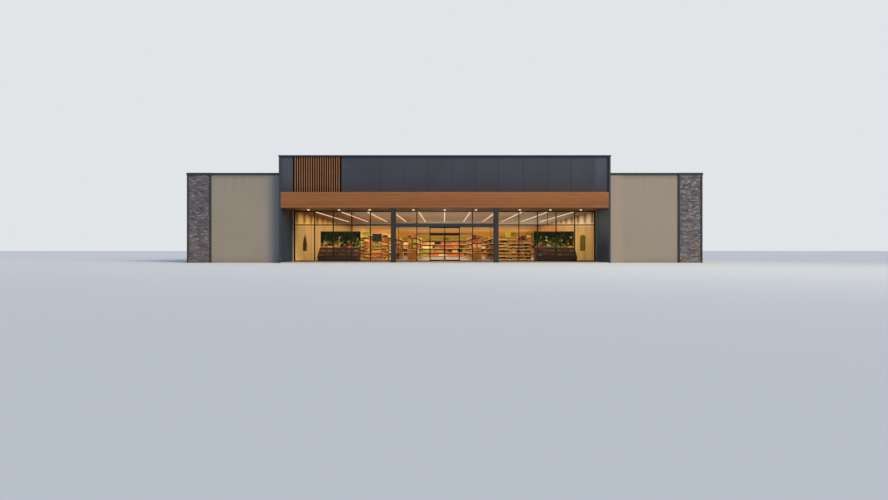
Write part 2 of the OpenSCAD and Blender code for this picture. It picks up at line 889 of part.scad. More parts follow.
// Header beam, door head, head rail and sills of the entrance
module entrance_rails() {
    beam_x = first_wide_x - post_w / 2;
    sill_z = [floor_z, floor_z + rail_h];
    color([0.14, 0.13, 0.12])
        difference() {
            union() {
                along_x([-beam_x, beam_x]) header_section();
                along_x([-doorway_w / 2, doorway_w / 2])
                    polygon(bevelled([frame_y0, frame_y1], [door_head_z, door_head_top], bar_bevel));
                rail([-doorway_w / 2, doorway_w / 2], [overlight_z, header_z]);
                rail([-beam_x, beam_x], [head_z, soffit_z]);
                both_sides() {
                    rail([door_post_x + post_w / 2, side_post_x - post_w / 2], sill_z);
                    rail([side_post_x + post_w / 2, beam_x], sill_z);
                }
            }
            entrance_panes();
        }
}

// Section of the header beam, stepped back to the plane of the posts along its lower edge
module header_section() {
    y = [glass_y - header_d / 2, glass_y + header_d / 2];
    step_z = header_z + header_step;
    polygon([
        [frame_y0, header_z], [y[1], header_z], [y[1], header_top], [y[0] + bar_bevel, header_top],
        [y[0], header_top - bar_bevel], [y[0], step_z], [frame_y0, step_z]
    ]);
}

module entrance_glass() {
    color([0.75, 0.85, 0.88, 0.35]) entrance_panes();
}

// Fixed glass units round the doorway
module entrance_panes() {
    sill_top = floor_z + rail_h;
    beam_x = first_wide_x - post_w / 2;
    pane([-side_post_x + post_w / 2, side_post_x - post_w / 2], [header_top, head_z]);
    both_sides() {
        pane([mullion_w / 2, doorway_w / 2], [door_head_top, overlight_z]);
        pane([door_post_x + post_w / 2, side_post_x - post_w / 2], [sill_top, header_z]);
        pane([side_post_x + post_w / 2, beam_x], [sill_top, header_z]);
        pane([side_post_x + post_w / 2, beam_x], [header_top, head_z]);
    }
}

// Track on the hall side of the posts: a back plate, a ledge, and the round rail for the wheels
module door_track() {
    color([0.30, 0.30, 0.31])
        along_x([-track_x, track_x]) {
            area([frame_y1, frame_y1 + track_t], [ledge_z, track_top]);
            area([frame_y1, ledge_y1], [ledge_z, ledge_z + ledge_t]);
            translate([(wheel_y0 + wheel_y1) / 2, ledge_z + ledge_t]) circle(r = rail_r);
        }
}

// Folded sheet hood over the track, closed at both ends and open below for the leaves
module door_hood() {
    inner_fold = hood_fold + hood_t * (sqrt(2) - 1);
    outer = [
        [frame_y1, hood_top], [hood_y1 - hood_fold, hood_top],
        [hood_y1, hood_top - hood_fold], [hood_y1, hood_z0]
    ];
    inner = [
        [hood_y1 - hood_t, hood_z0], [hood_y1 - hood_t, hood_top - inner_fold],
        [hood_y1 - inner_fold, hood_top - hood_t], [frame_y1, hood_top - hood_t]
    ];
    color([0.20, 0.20, 0.21])
        union() {
            along_x([-track_x, track_x]) polygon(concat(outer, inner));
            both_sides()
                along_x([track_x, track_x + hood_t]) polygon(concat(outer, [[frame_y1, hood_z0]]));
        }
}

// Floor guides: a foot on the floor and a rounded fin that stands in the groove under each leaf
module door_guides() {
    guide_x = doorway_w / 2 + leaf_lap / 2;
    tip_z = floor_z + guide_h - guide_t / 2;
    color([0.55, 0.55, 0.56])
        both_sides()
            along_x([guide_x - guide_w / 2, guide_x + guide_w / 2])
                translate([leaf_mid_y, 0]) {
                    area([-guide_foot_w / 2, guide_foot_w / 2], [floor_z, floor_z + guide_foot_t]);
                    area([-guide_t / 2, guide_t / 2], [floor_z, tip_z]);
                    translate([0, tip_z]) circle(d = guide_t);
                }
}

// Door leaf: stiles and rails with sloping beads round the glass, a guide groove below, two hangers
module door_leaf(side) {
    x = [leaf_x0 + stile_w, leaf_x1 - stile_w];
    z = [leaf_z0 + leaf_bottom_rail, leaf_z1 - leaf_top_rail];
    color([0.12, 0.11, 0.10])
        on_side(side)
            union() {
                difference() {
                    upright([leaf_z0, leaf_z1])
                        polygon(bevelled([leaf_x0, leaf_x1], [leaf_y0, leaf_y1], leaf_bevel));
                    block(x, [leaf_y0 - cut, leaf_y1 + cut], z);
                    splay(x, [leaf_y0 - cut, leaf_y0 + bead_w], z);
                    splay(x, [leaf_y1 + cut, leaf_y1 - bead_w], z);
                    leaf_pane();
                    block(
                        [leaf_x0 - cut, leaf_x1 + cut],
                        [leaf_mid_y - groove_w / 2, leaf_mid_y + groove_w / 2],
                        [leaf_z0 - cut, leaf_z0 + groove_h]
                    );
                }
                for (x = [leaf_x0 + hanger_inset, leaf_x1 - hanger_inset]) hanger(x);
            }
}

// Hanger on the hall face of a leaf: a plate with sloping shoulders and two wheels on the track rail
module hanger(x) {
    half = hanger_l / 2;
    along_y([leaf_y1, leaf_y1 + hanger_t])
        translate([x, 0])
            polygon([
                [-half, leaf_z1 - hanger_drop], [half, leaf_z1 - hanger_drop],
                [half, hanger_top - hanger_shoulder], [half - hanger_shoulder, hanger_top],
                [-half + hanger_shoulder, hanger_top], [-half, hanger_top - hanger_shoulder]
            ]);
    for (offset = [-wheel_spacing / 2, wheel_spacing / 2])
        translate([x + offset, wheel_y0, wheel_z])
            rotate([-90, 0, 0]) {
                wheel();
                cylinder(h = leaf_y1 - wheel_y0 + hanger_t / 2, r = axle_r);
            }
}

// Wheel with a round groove that fits over the track rail
module wheel() {
    rotate_extrude()
        difference() {
            square([wheel_r, wheel_t]);
            translate([wheel_run, wheel_t / 2]) circle(r = rail_r + wheel_gap);
        }
}

module door_glass(side) {
    color([0.75, 0.85, 0.88, 0.35])
        on_side(side) leaf_pane();
}

// Glass of the right-hand leaf, let into its stiles and rails
module leaf_pane() {
    block(
        [leaf_x0 + stile_w - leaf_bite, leaf_x1 - stile_w + leaf_bite],
        [leaf_mid_y - leaf_glass_t / 2, leaf_mid_y + leaf_glass_t / 2],
        [leaf_z0 + leaf_bottom_rail - leaf_bite, leaf_z1 - leaf_top_rail + leaf_bite]
    );
}

module hall_ceiling() {
    color([0.55, 0.47, 0.40])
        block([-hall_x, hall_x], [frame_y1, hall_rear_y], [soffit_z, soffit_z + ceiling_t]);
}

// Rows of ceiling lights with sloping sides, front to rear
module ceiling_lights() {
    light_y0 = frame_y1 + light_margin;
    color([1.0, 0.96, 0.88])
        along_y([light_y0, min(light_y0 + light_l, hall_rear_y - light_margin)])
            for (i = [-light_rows : light_rows])
                translate([i * light_pitch, soffit_z])
                    polygon([
                        [-light_w / 2, 0], [light_w / 2, 0],
                        [light_w / 2 - light_bevel, -light_h], [-light_w / 2 + light_bevel, -light_h]
                    ]);
}

// Panelling on both side walls of the hall, with upright ribs
module hall_linings() {
    inner_x = hall_x - lining_t;
    last_rib_y = hall_rear_y - shelf_d - spine_t - rib_w;
    color([0.70, 0.53, 0.30])
        both_sides()
            upright([floor_z, soffit_z])
                union() {
                    area([inner_x, hall_x], [frame_y1, hall_rear_y]);
                    for (y = [frame_y1 + rib_first : rib_pitch : last_rib_y])
                        polygon([
                            [inner_x + cut, y - rib_w / 2], [inner_x, y - rib_w / 2],
                            [inner_x - rib_d, y - rib_w / 2 + rib_d],
                            [inner_x - rib_d, y + rib_w / 2 - rib_d],
                            [inner_x, y + rib_w / 2], [inner_x + cut, y + rib_w / 2]
                        ]);
                }
}

// Painted band with a cornice and a strip across the rear wall of the hall, over a run of wall shelving
module rear_display_wall() {
    x = [-hall_x + lining_t, hall_x - lining_t];
    color([0.85, 0.50, 0.18])
        along_x(x)
            translate([hall_rear_y, 0])
                mirror([1, 0]) {
                    polygon([
                        [0, band_z], [band_t - band_bevel, band_z], [band_t, band_z + band_bevel],
                        [band_t, cornice_z], [band_t + cornice_lip, cornice_z + cornice_lip],
                        [cornice_d, soffit_z - cornice_lip], [cornice_d, soffit_z], [0, soffit_z]
                    ]);
                    area([0, strip_t], [strip_z, strip_z + strip_h]);
                    translate([0, floor_z]) {
                        area([0, spine_t], [0, wall_shelving_h]);
                        translate([spine_t, 0]) shelf_side(wall_shelving_h);
                    }
                }
}

// Section of the shelves on one side of a spine: a plinth with a toe recess, then tapering shelves
module shelf_side(height) {
    step = (height - plinth_h) / shelf_count;
    polygon([
        [-cut, 0], [shelf_d - toe_d, 0], [shelf_d - toe_d, toe_h], [shelf_d, toe_h],
        [shelf_d, plinth_h + shelf_lip_h], [shelf_d - shelf_lip_t, plinth_h + shelf_lip_h],
        [shelf_d - shelf_lip_t, plinth_h], [-cut, plinth_h]
    ]);
    for (i = [1 : shelf_count])
        translate([0, plinth_h + i * step])
            polygon([
                [-cut, -bracket_h], [shelf_d, -shelf_t], [shelf_d, shelf_lip_h],
                [shelf_d - shelf_lip_t, shelf_lip_h], [shelf_d - shelf_lip_t, 0], [-cut, 0]
            ]);
}

// Shelving rows that run front to rear on both sides of the centre aisle
module shelving_rows() {
    color([0.55, 0.38, 0.22])
        both_sides()
            for (i = [0 : row_count - 1])
                along_y([row_y0, row_y0 + row_l])
                    translate([row_first + i * row_pitch, floor_z]) {
                        area([-spine_t / 2, spine_t / 2], [0, row_h]);
                        for (turn = [0, 1])
                            mirror([turn, 0])
                                translate([spine_t / 2, 0]) shelf_side(row_h);
                    }
}

// Ranges of X of a produce stand and its backboard, by the side of the hall
function stand_x(side) =
    let (outer = hall_x - lining_t - (side > 0 ? stand_clear_right : stand_clear_left))
    [outer - stand_w, outer];

// Stepped produce stands near the front glass: trays with lips over a toe recess
module produce_stands() {
    color([0.42, 0.26, 0.14])
        for (side = [-1, 1])
            on_side(side)
                along_x(stand_x(side))
                    polygon(concat(
                        [[board_y1, floor_z], [stand_y0 + toe_d, floor_z]],
                        [[stand_y0 + toe_d, floor_z + toe_h], [stand_y0, floor_z + toe_h]],
                        [for (i = [0 : stand_steps - 1], point = tray(i)) point],
                        [[board_y1, floor_z + stand_steps * stand_step_h]]
                    ));
}

// Outline of the lip and the bed of one tray of a produce stand
function tray(i) =
    let (y = stand_y0 + i * stand_step_d, z = floor_z + (i + 1) * stand_step_h)
    [[y, z + stand_lip_h], [y + stand_lip_t, z + stand_lip_h], [y + stand_lip_t, z]];

// Framed backboards that stand on the produce stands
module display_boards() {
    z0 = floor_z + stand_steps * stand_step_h;
    color([0.14, 0.24, 0.12])
        for (side = [-1, 1])
            on_side(side) {
                x = stand_x(side);
                difference() {
                    block(x, [board_y0, board_y1], [z0, z0 + board_h]);
                    splay(
                        [x[0] + board_frame, x[1] - board_frame],
                        [board_y0 - cut, board_y0 + board_recess],
                        [z0 + board_frame, z0 + board_h - board_frame]
                    );
                }
            }
}

floor_slabs();
front_wall(-1);  // front_wall_left
front_wall(1);  // front_wall_right
side_wall(-1);  // side_wall_left
side_wall(1);  // side_wall_right
rear_wall();
hall_wall(-1);  // hall_wall_left
hall_wall(1);  // hall_wall_right
stone_pier(-1);  // stone_pier_left
stone_pier(1);  // stone_pier_right
pier_trims();
wing_coping();
main_roof_deck();
front_roof_decks();
portal_fin(-1);  // portal_fin_left
portal_fin(1);  // portal_fin_right
portal_rear_wall();
portal_roof_deck();
portal_coping();
lintel_wall();
fascia_wall();
fascia_sheets();
timber_slats();
canopy_beam();
canopy_soffit();
soffit_downlights();
portico_columns();
shopfront_frame(-1);  // shopfront_frame_left
shopfront_frame(1);  // shopfront_frame_right
shopfront_glass(-1);  // shopfront_glass_left
shopfront_glass(1);  // shopfront_glass_right
entrance_posts();
entrance_rails();
entrance_glass();
door_track();
door_hood();
door_guides();
door_leaf(-1);  // door_leaf_left
door_leaf(1);  // door_leaf_right
door_glass(-1);  // door_glass_left
door_glass(1);  // door_glass_right
hall_ceiling();
ceiling_lights();
hall_linings();
rear_display_wall();
shelving_rows();
produce_stands();
display_boards();
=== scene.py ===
"""Looks of the supermarket building: materials, cladding, goods, light and camera."""
import math
import random

import bpy
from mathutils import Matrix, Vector

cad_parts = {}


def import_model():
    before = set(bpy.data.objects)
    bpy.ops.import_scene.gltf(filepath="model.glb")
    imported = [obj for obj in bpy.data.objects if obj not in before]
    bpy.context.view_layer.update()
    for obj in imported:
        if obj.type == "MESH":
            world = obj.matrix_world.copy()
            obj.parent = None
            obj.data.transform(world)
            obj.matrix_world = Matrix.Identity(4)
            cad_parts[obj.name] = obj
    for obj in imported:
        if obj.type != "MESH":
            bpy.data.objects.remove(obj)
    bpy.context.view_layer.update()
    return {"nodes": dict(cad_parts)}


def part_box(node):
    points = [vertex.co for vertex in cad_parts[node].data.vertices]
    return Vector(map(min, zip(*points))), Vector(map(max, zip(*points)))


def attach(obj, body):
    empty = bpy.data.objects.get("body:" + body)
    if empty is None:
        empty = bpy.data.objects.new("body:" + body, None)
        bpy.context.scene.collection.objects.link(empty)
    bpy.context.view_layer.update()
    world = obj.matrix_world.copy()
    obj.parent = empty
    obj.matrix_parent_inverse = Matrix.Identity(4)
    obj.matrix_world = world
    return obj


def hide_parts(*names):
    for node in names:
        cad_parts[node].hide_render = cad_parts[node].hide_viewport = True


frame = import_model()
nodes = frame["nodes"]

BODY = "building"

# Camera of the photo: level, on the centre line of the building
CAMERA_PLACE = (-0.055, -62.0, 0.99)
CAMERA_LENS = 24.0
SENSOR_WIDTH = 36.0
CAMERA_REACH = 1500.0

# Sun: degrees to the right of the front's axis and above the horizon, width of the soft edge
SUN_TURN = 45.0
SUN_RISE = 33.0
SUN_SOFTNESS = 24.0
SUN_STRENGTH = 2.0
SUN_COLOUR = (1.0, 0.91, 0.68)
SUN_PLACE = (20, -30, 30)
SKY_LIGHT = 0.42
SKY_COLOUR = (0.72, 0.94, 1.38)

# Wide soft lamp far to the right, and the light of the hall
SIDE_LAMP_PLACE = (70.0, -80.0, 34.0)
SIDE_LAMP_AIM_Z = 4.0
SIDE_LAMP_POWER = 165000.0
SIDE_LAMP_CONE = 34.0
SIDE_LAMP_EDGE = 0.6
SIDE_LAMP_RADIUS = 12.0
HALL_LAMP_POWER = 4900.0
HALL_LAMP_SIZE = (23.0, 28.0)
HALL_LAMP_DROP = 0.08
HALL_LAMP_COLOUR = (1.0, 0.86, 0.68)

BACKDROP = (226, 229, 232)
STUCCO_COLOUR = (142, 132, 121)

# Places taken from the frame
beam_low, beam_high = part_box("canopy_beam")
soffit_low, soffit_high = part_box("canopy_soffit")
ceiling_low, ceiling_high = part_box("hall_ceiling")
frame_low, frame_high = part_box("shopfront_frame_left")
fin_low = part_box("portal_fin_left")[0]
fin_reach = abs(fin_low.x)
wing_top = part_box("wing_coping")[0].z

# Levels of the glazed front: rails, transom and header
RAIL_H = 0.08
SILL_TOP_Z = frame_low.z + RAIL_H
HEAD_FOOT_Z = frame_high.z - RAIL_H
TRANSOM_TOP_Z = 3.09
HEADER_FOOT_Z = 2.88
HEADER_EDGE_Z = 2.9

# Slim bars before the glass: middle, foot and top of each
SLIM_BARS = (
    (-3.8, SILL_TOP_Z, HEADER_FOOT_Z), (3.8, SILL_TOP_Z, HEADER_FOOT_Z),
    (8.45, TRANSOM_TOP_Z, HEAD_FOOT_Z),
)
SLIM_BAR_W = 0.044
SLIM_BAR_D = 0.03

# Joints of the long stucco walls, seams of the fins, end sheets of the fascia, roof fall
WALL_JOINT_PITCH = 5.66
WALL_JOINT_W = 0.02
FIN_SEAM_PITCH = 1.2
FIN_SEAM_W = 0.016
END_SHEET_X = 11.4
ROOF_FALL = 0.12

# Ledge stones: joints, bed, courses, lengths, width of a facet, fall to the joints, roughness, rows
STONE_JOINT = 0.008
STONE_BED = 0.03
STONE_COURSES = (0.07, 0.085, 0.105, 0.13)
STONE_LENGTHS = (0.13, 0.38)
STONE_FACET = 0.14
STONE_FALL = 0.013
STONE_ROUGH = (-0.004, 0.008)
STONE_ROWS = (0.0, 0.3, 0.7, 1.0)

# Boards of the canopy and the soffit: gap between the rows, lap over the core
BOARD_GAP = 0.008
BOARD_LAP = 0.002

# Rear wall: top of the oiled timber, top of the green strip, foot of the cornice
DISPLAY_STRIP_Z = 2.27
DISPLAY_BAND_Z = 2.6
CORNICE_Z = 4.02

# Leafy patches painted on the rear wall: middle, half width, top, paleness
GREEN_PATCHES = (
    (-10.45, 0.66, 3.4, 1.1), (-7.8, 0.75, 2.9, 0.75),
    (8.6, 0.55, 3.5, 1.2), (9.25, 0.46, 3.35, 0.45), (11.4, 0.65, 3.3, 0.45),
)

# Slim leafy panel painted on each side wall: side, middle, half width, top, taper, colour
SLIM_PANELS = (
    (-1, -9.25, 0.76, 2.5, 0.9, (38, 40, 4)),
    (1, -8.63, 1.05, 2.4, 0.15, (92, 82, 2)),
)
SLIM_FOOT = 0.9

# Ribs of the panelling, and the lamp light between them: its foot, its slope to the rear
RIB_Y = 12.125
RIB_PITCH = 2.66
ARC_FOOT_Z = 3.55
ARC_SLOPE = 0.042

# Shelving: distances of the rows from the centre line, shelves and their parts
ROW_CENTRES = (3.0, 5.3, 7.6)
ROW_LEVELS = 5
SHELF_STEP = 0.4875
TOP_ROOM = 0.28
WALL_LEVELS = 4
WALL_SHELF_STEP = 0.5
PLINTH = 0.15
SHELF_T = 0.03
BRACKET_H = 0.065
SPINE_HALF = 0.03
SHELF_DEPTH = 0.42
LIP_T = 0.012
GOODS_GAP = 0.01
GOODS_END = 0.05
CARD_H = 0.012
CARD_IN = 0.001
CARD_OUT = 0.002

# Bins before the outer rows: left edge, width, tiers, height of a tier, what stands on top
BIN_PLACES = (
    (-8.02, 0.72, 6, 0.31, ""), (-7.28, 0.5, 6, 0.28, "boxes"), (-6.66, 0.88, 5, 0.33, "casing"),
    (-5.72, 0.56, 6, 0.27, ""), (-5.1, 0.5, 6, 0.31, ""),
    (4.9, 0.98, 7, 0.3, ""), (5.9, 0.66, 7, 0.3, ""), (6.58, 0.66, 6, 0.3, "boxes"),
    (7.26, 0.72, 6, 0.3, ""),
)
BIN_T = 0.014
BIN_DEPTHS = (0.42, 0.6)
BIN_GAP = 0.012
BIN_FOOT = 0.03

# Top of the lips and tones of the goods, for the bins on the left and on the right
BIN_SIDES = (
    (0.06, (0.05, 0.05, 0.33, 0.33, 0.7, 0.78, 0.84)),
    (0.08, (0.05, 0.2, 0.33, 0.45, 0.6, 0.9)),
)
STACK_GAP = 0.1

# Crates stacked before the inner rows, and trays on the steps of the produce stands
STACK_LAYERS = ((-ROW_CENTRES[0], 6), (ROW_CENTRES[0], 7))
STACK_CRATE = (0.44, 0.36, 0.21)
CRATE_GAP = 0.005
STAND_W = 3.6
STAND_STEP_H = 0.35
STAND_STEP_D = 0.45
TRAY_W = 0.57
TRAY_H = 0.1
TRAY_PITCH = 0.595
TRAY_SET = 0.035
TRAY_GAP = 0.065


def linear(colour):
    """Linear RGBA of a colour written as 0 to 255 in sRGB."""
    parts = [c / 255.0 for c in colour]
    return (*[p / 12.92 if p <= 0.04045 else ((p + 0.055) / 1.055) ** 2.4 for p in parts], 1.0)


class Graph:
    """Node tree with short calls that add nodes and join them."""

    def __init__(self, tree):
        self.tree = tree

    def feed(self, socket, value):
        if isinstance(value, bpy.types.NodeSocket):
            self.tree.links.new(value, socket)
        else:
            socket.default_value = value

    def add(self, kind, inputs=None, **settings):
        node = self.tree.nodes.new("ShaderNode" + kind)
        for name, value in settings.items():
            setattr(node, name, value)
        for name, value in (inputs or {}).items():
            self.feed(node.inputs[name], value)
        return node

    def maths(self, operation, first, second=0.0):
        return self.add("Math", {0: first, 1: second}, operation=operation).outputs[0]

    def over(self, value, limit):
        return self.maths("GREATER_THAN", value, limit)

    def under(self, value, limit):
        return self.maths("LESS_THAN", value, limit)

    def off(self, value, middle=0.0):
        """Distance of a value from a middle."""
        return self.maths("ABSOLUTE", self.maths("SUBTRACT", value, middle))

    def times(self, first, *others):
        """Product of two or more values."""
        for other in others:
            first = self.maths("MULTIPLY", first, other)
        return first


class Surface(Graph):
    """A node material round one Principled shader."""

    def __init__(self, name, roughness=0.6, metallic=0.0, specular=0.5):
        self.material = bpy.data.materials.new(name)
        self.material.use_nodes = True
        super().__init__(self.material.node_tree)
        self.shader = next(n for n in self.tree.nodes if n.type == "BSDF_PRINCIPLED")
        self.output = next(n for n in self.tree.nodes if n.type == "OUTPUT_MATERIAL")
        self.set(Roughness=roughness, Metallic=metallic, Specular_IOR_Level=specular)
        self.place = self.add("TexCoord").outputs["Object"]

    def set(self, **sockets):
        for name, value in sockets.items():
            self.feed(self.shader.inputs[name.replace("_", " ")], value)

    def done(self, colour, normal):
        """The material, once its colour and its normal are joined to the shader."""
        self.set(Base_Color=colour, Normal=normal)
        return self.material

    def noise(self, scale, detail=4.0, stretch=(1, 1, 1), rough=0.55, shift=0.0):
        place = {"Vector": self.place, "Scale": stretch, "Location": (shift, shift, shift)}
        moved = self.add("Mapping", place).outputs[0]
        grain = {"Vector": moved, "Scale": scale, "Detail": detail, "Roughness": rough}
        return self.add("TexNoise", grain).outputs["Fac"]

    def remap(self, value, low, high, to_low=0.0, to_high=1.0):
        inputs = dict(enumerate((value, low, high, to_low, to_high)))
        return self.add("MapRange", inputs).outputs["Result"]

    def axis(self, name):
        return self.add("SeparateXYZ", {"Vector": self.place}).outputs[name]

    def blend(self, factor, first, second, mode="MIX"):
        """Mix of two colours, each a socket or three numbers from 0 to 255 in sRGB."""
        first, second = (linear(c) if isinstance(c, tuple) else c for c in (first, second))
        inputs = {0: factor, 6: first, 7: second}
        return self.add("Mix", inputs, data_type="RGBA", blend_type=mode).outputs[2]

    def ramp(self, value, stops, stepped=False):
        made = self.add("ValToRGB", {"Fac": value})
        made.color_ramp.interpolation = "CONSTANT" if stepped else "LINEAR"
        elements = made.color_ramp.elements
        while len(elements) < len(stops):
            elements.new(1.0)
        for element, (place, colour) in zip(elements, stops):
            element.position = place
            element.color = linear(colour)
        return made.outputs["Color"]

    def shade(self, colour, value, low, high):
        """The colour made darker or lighter by a value from 0 to 1."""
        return self.blend(1.0, colour, self.remap(value, 0.0, 1.0, low, high), "MULTIPLY")

    def wash(self, colour, along, start, end, other, most=1.0):
        """The colour turned into another one from start to end along a coordinate."""
        return self.blend(self.remap(along, start, end, 0.0, most), colour, other)

    def bump(self, height, distance, normal=None):
        inputs = {"Height": height, "Distance": distance, "Strength": 1.0}
        if normal is not None:
            inputs["Normal"] = normal
        return self.add("Bump", inputs).outputs["Normal"]

    def sunk(self, joints, depth, normal=None):
        """Normal of a surface whose joints lie below it."""
        return self.bump(self.remap(joints, 0.0, 1.0, 1.0, 0.0), depth, normal)

    def coat_grain(self):
        """Normal of a fine powder coat."""
        return self.bump(self.noise(420.0, 1.0), 0.0002)

    def island(self):
        return self.add("NewGeometry").outputs["Random Per Island"]

    def tone(self):
        return self.add("Attribute", attribute_name="tone").outputs["Fac"]

    def foot(self, colour, low_z, rise, level, tint=None):
        """The colour darkened towards a foot, where it may also take a tint."""
        z = self.axis("Z")
        darker = self.shade(colour, self.remap(z, low_z, low_z + rise), level, 1.0)
        if tint:
            darker = self.wash(darker, z, low_z + rise * 0.45, low_z, tint, 0.7)
        return darker

    def joints(self, value, pitch, width):
        """1 in the joints that repeat along a coordinate, 0 between them."""
        place = self.maths("MODULO", self.maths("ADD", value, pitch * 1000), pitch)
        return self.under(place, width)


def stucco(name, joint_axis=None):
    """Trowelled stucco, weathered and with a painted shade under the coping, with upright joints on
    the long walls, and painted shade and light by the fins on the front walls.
    """
    s = Surface(name, roughness=0.9, specular=0.25)
    z = s.axis("Z")
    base = s.shade(STUCCO_COLOUR, s.noise(0.35, 3.0), 0.93, 1.06)
    base = s.shade(base, s.noise(4.0, 7.0, shift=5.0), 0.96, 1.04)
    under_coping = s.remap(z, wing_top - 2.2, wing_top)
    streaks = s.remap(s.noise(1.0, 5.0, (3.2, 3.2, 0.16)), 0.48, 0.72)
    base = s.shade(base, s.times(under_coping, streaks), 1.0, 0.9)
    # Painted shade: a darker band just under the coping.
    base = s.shade(base, s.remap(z, wing_top - 0.36, wing_top - 0.04), 1.0, 0.74)
    splash = s.times(s.remap(z, 0.55, 0.0), s.noise(2.5, 5.0, (1, 1, 2)))
    base = s.shade(base, splash, 1.0, 0.72)
    if joint_axis:
        joints = s.joints(s.axis(joint_axis), WALL_JOINT_PITCH, WALL_JOINT_W)
        base = s.shade(base, joints, 1.0, 0.5)
    else:
        # By the fins the front walls take painted light: a bluish painted shade on the left wall and a
        # warm painted reflection on the right wall.
        x = s.axis("X")
        painted_light_by_fin = s.remap(s.off(x), fin_reach + 1.5, fin_reach + 0.8)
        left = s.under(x, 0.0)
        beside = s.blend(left, (154, 138, 128), (149, 143, 141))
        base = s.blend(s.times(painted_light_by_fin, 0.85), base, beside)
    trowel = s.bump(s.noise(14.0, 3.0), 0.004)
    return s.done(base, s.bump(s.noise(260.0, 2.0), 0.0014, trowel))


def stone():
    """Split ledge stones of several greys, warmer in patches towards the foot."""
    s = Surface("ledge stone", roughness=0.86, specular=0.3)
    greys = s.ramp(s.tone(), [
        (0.0, (60, 60, 68)), (0.25, (82, 80, 87)), (0.55, (99, 95, 101)),
        (0.8, (116, 111, 113)), (1.0, (144, 134, 131)),
    ])
    warm = s.remap(s.axis("Z"), 3.4, 0.6, 0.0, 0.6)
    patch = s.remap(s.noise(1.4, 3.0), 0.4, 0.65)
    base = s.blend(s.times(warm, patch), greys, (124, 102, 90))
    base = s.shade(base, s.noise(9.0, 5.0, (1, 1, 2.0)), 0.82, 1.18)
    return s.done(base, s.bump(s.noise(34.0, 6.0, (1, 1, 2.0), 0.65), 0.012))


def painted_metal(name, colour, roughness=0.42, end_x=None, painted_shade_foot_z=None):
    """Powder-coated sheets of slightly different tones, paler at the ends, darker at a foot as painted
    shade and lighter above it as painted light.
    """
    s = Surface(name, specular=0.2)
    cloud = s.noise(0.5, 3.0, (1, 1, 0.5))
    base = s.shade(colour, s.island(), 0.94, 1.06)
    base = s.shade(base, cloud, 0.9, 1.1)
    base = s.shade(base, s.noise(3.0, 4.0, (2.6, 2.6, 0.1), shift=3.0), 0.94, 1.05)
    if end_x:
        ends = s.over(s.off(s.axis("X")), end_x)
        base = s.shade(base, ends, 1.0, 1.3)
    if painted_shade_foot_z:
        # Painted light lightens the sheets higher up; painted shade darkens and browns them towards
        # the foot.
        rise = 1.1
        base = s.shade(base, s.remap(s.axis("Z"), painted_shade_foot_z + rise, painted_shade_foot_z + 2.0), 1.0, 1.11)
        base = s.foot(base, painted_shade_foot_z, rise, 0.74, (60, 54, 53))
    s.set(Roughness=s.remap(cloud, 0.3, 0.7, roughness - 0.07, roughness + 0.1))
    return s.done(base, s.coat_grain())


def fin_metal():
    """Upright sheets; inside the portico the right fin is paler, most so higher up, as painted light,
    and the left one darker, as painted shade.
    """
    s = Surface("fin metal", specular=0.2, roughness=0.42)
    x, y, z = (s.axis(name) for name in "XYZ")
    base = s.shade((48, 60, 70), s.noise(0.5, 3.0, (1, 1, 0.5)), 0.86, 1.16)
    base = s.shade(base, s.noise(3.0, 4.0, (2.6, 2.6, 0.1), shift=3.0), 0.92, 1.07)
    # Inside the portico: painted light on the right fin, painted shade on the left one.
    behind_face = s.over(y, fin_low.y + 0.04)
    inside = s.times(behind_face, s.under(z, soffit_low.z + 0.1))
    pale = s.wash((70, 76, 90), z, 1.2, 2.8, (97, 115, 121))
    base = s.blend(s.times(inside, s.over(x, 0.0)), base, pale)
    left = s.times(inside, s.under(x, 0.0))
    base = s.blend(left, base, (42, 56, 70))
    seams = s.joints(y, FIN_SEAM_PITCH, FIN_SEAM_W)
    base = s.shade(base, seams, 1.0, 0.35)
    return s.done(base, s.sunk(seams, 0.006, s.coat_grain()))


def timber(name, dark, light, along, source="tone", shine=0.35, contrast=1.0, foot=None):
    """Oiled timber whose grain runs along X, Y or Z."""
    s = Surface(name, roughness=0.5, specular=shine)
    plain_place = s.place
    across = 16.0
    stretch = [across] * 3
    stretch["XYZ".index(along)] = 0.7
    fine = [across * 9] * 3
    fine["XYZ".index(along)] = 3.0
    board = s.tone() if source == "tone" else s.island()
    far = s.add("VectorMath", {0: board, 1: (37.0, 41.0, 29.0)}, operation="MULTIPLY")
    moved = s.add("VectorMath", {0: s.place, 1: far.outputs[0]}, operation="ADD")
    s.place = moved.outputs[0]
    rings = s.noise(1.0, 3.0, stretch, 0.6)
    fibre = s.noise(1.0, 4.0, fine, 0.6)
    base = s.wash(dark, rings, 0.3, 0.7, light)
    base = s.shade(base, board, 1.0 - 0.14 * contrast, 1.0 + 0.13 * contrast)
    base = s.shade(base, fibre, 1.0 - 0.14 * contrast, 1.0 + 0.12 * contrast)
    # Darker towards a foot; on the slats this is painted shade above the canopy.
    if foot:
        s.place = plain_place
        base = s.foot(base, *foot)
    return s.done(base, s.bump(fibre, 0.0012))


def membrane():
    """Pale roofing sheet with a few darker stains."""
    s = Surface("roof membrane", roughness=0.78, specular=0.3)
    pale = s.shade((168, 168, 165), s.noise(0.22, 6.0, rough=0.62), 0.82, 1.12)
    stains = s.remap(s.noise(0.5, 8.0, rough=0.7, shift=9.0), 0.56, 0.74)
    base = s.blend(s.times(stains, 0.45), pale, (112, 106, 96))
    return s.done(base, s.bump(s.noise(60.0, 2.0), 0.001))


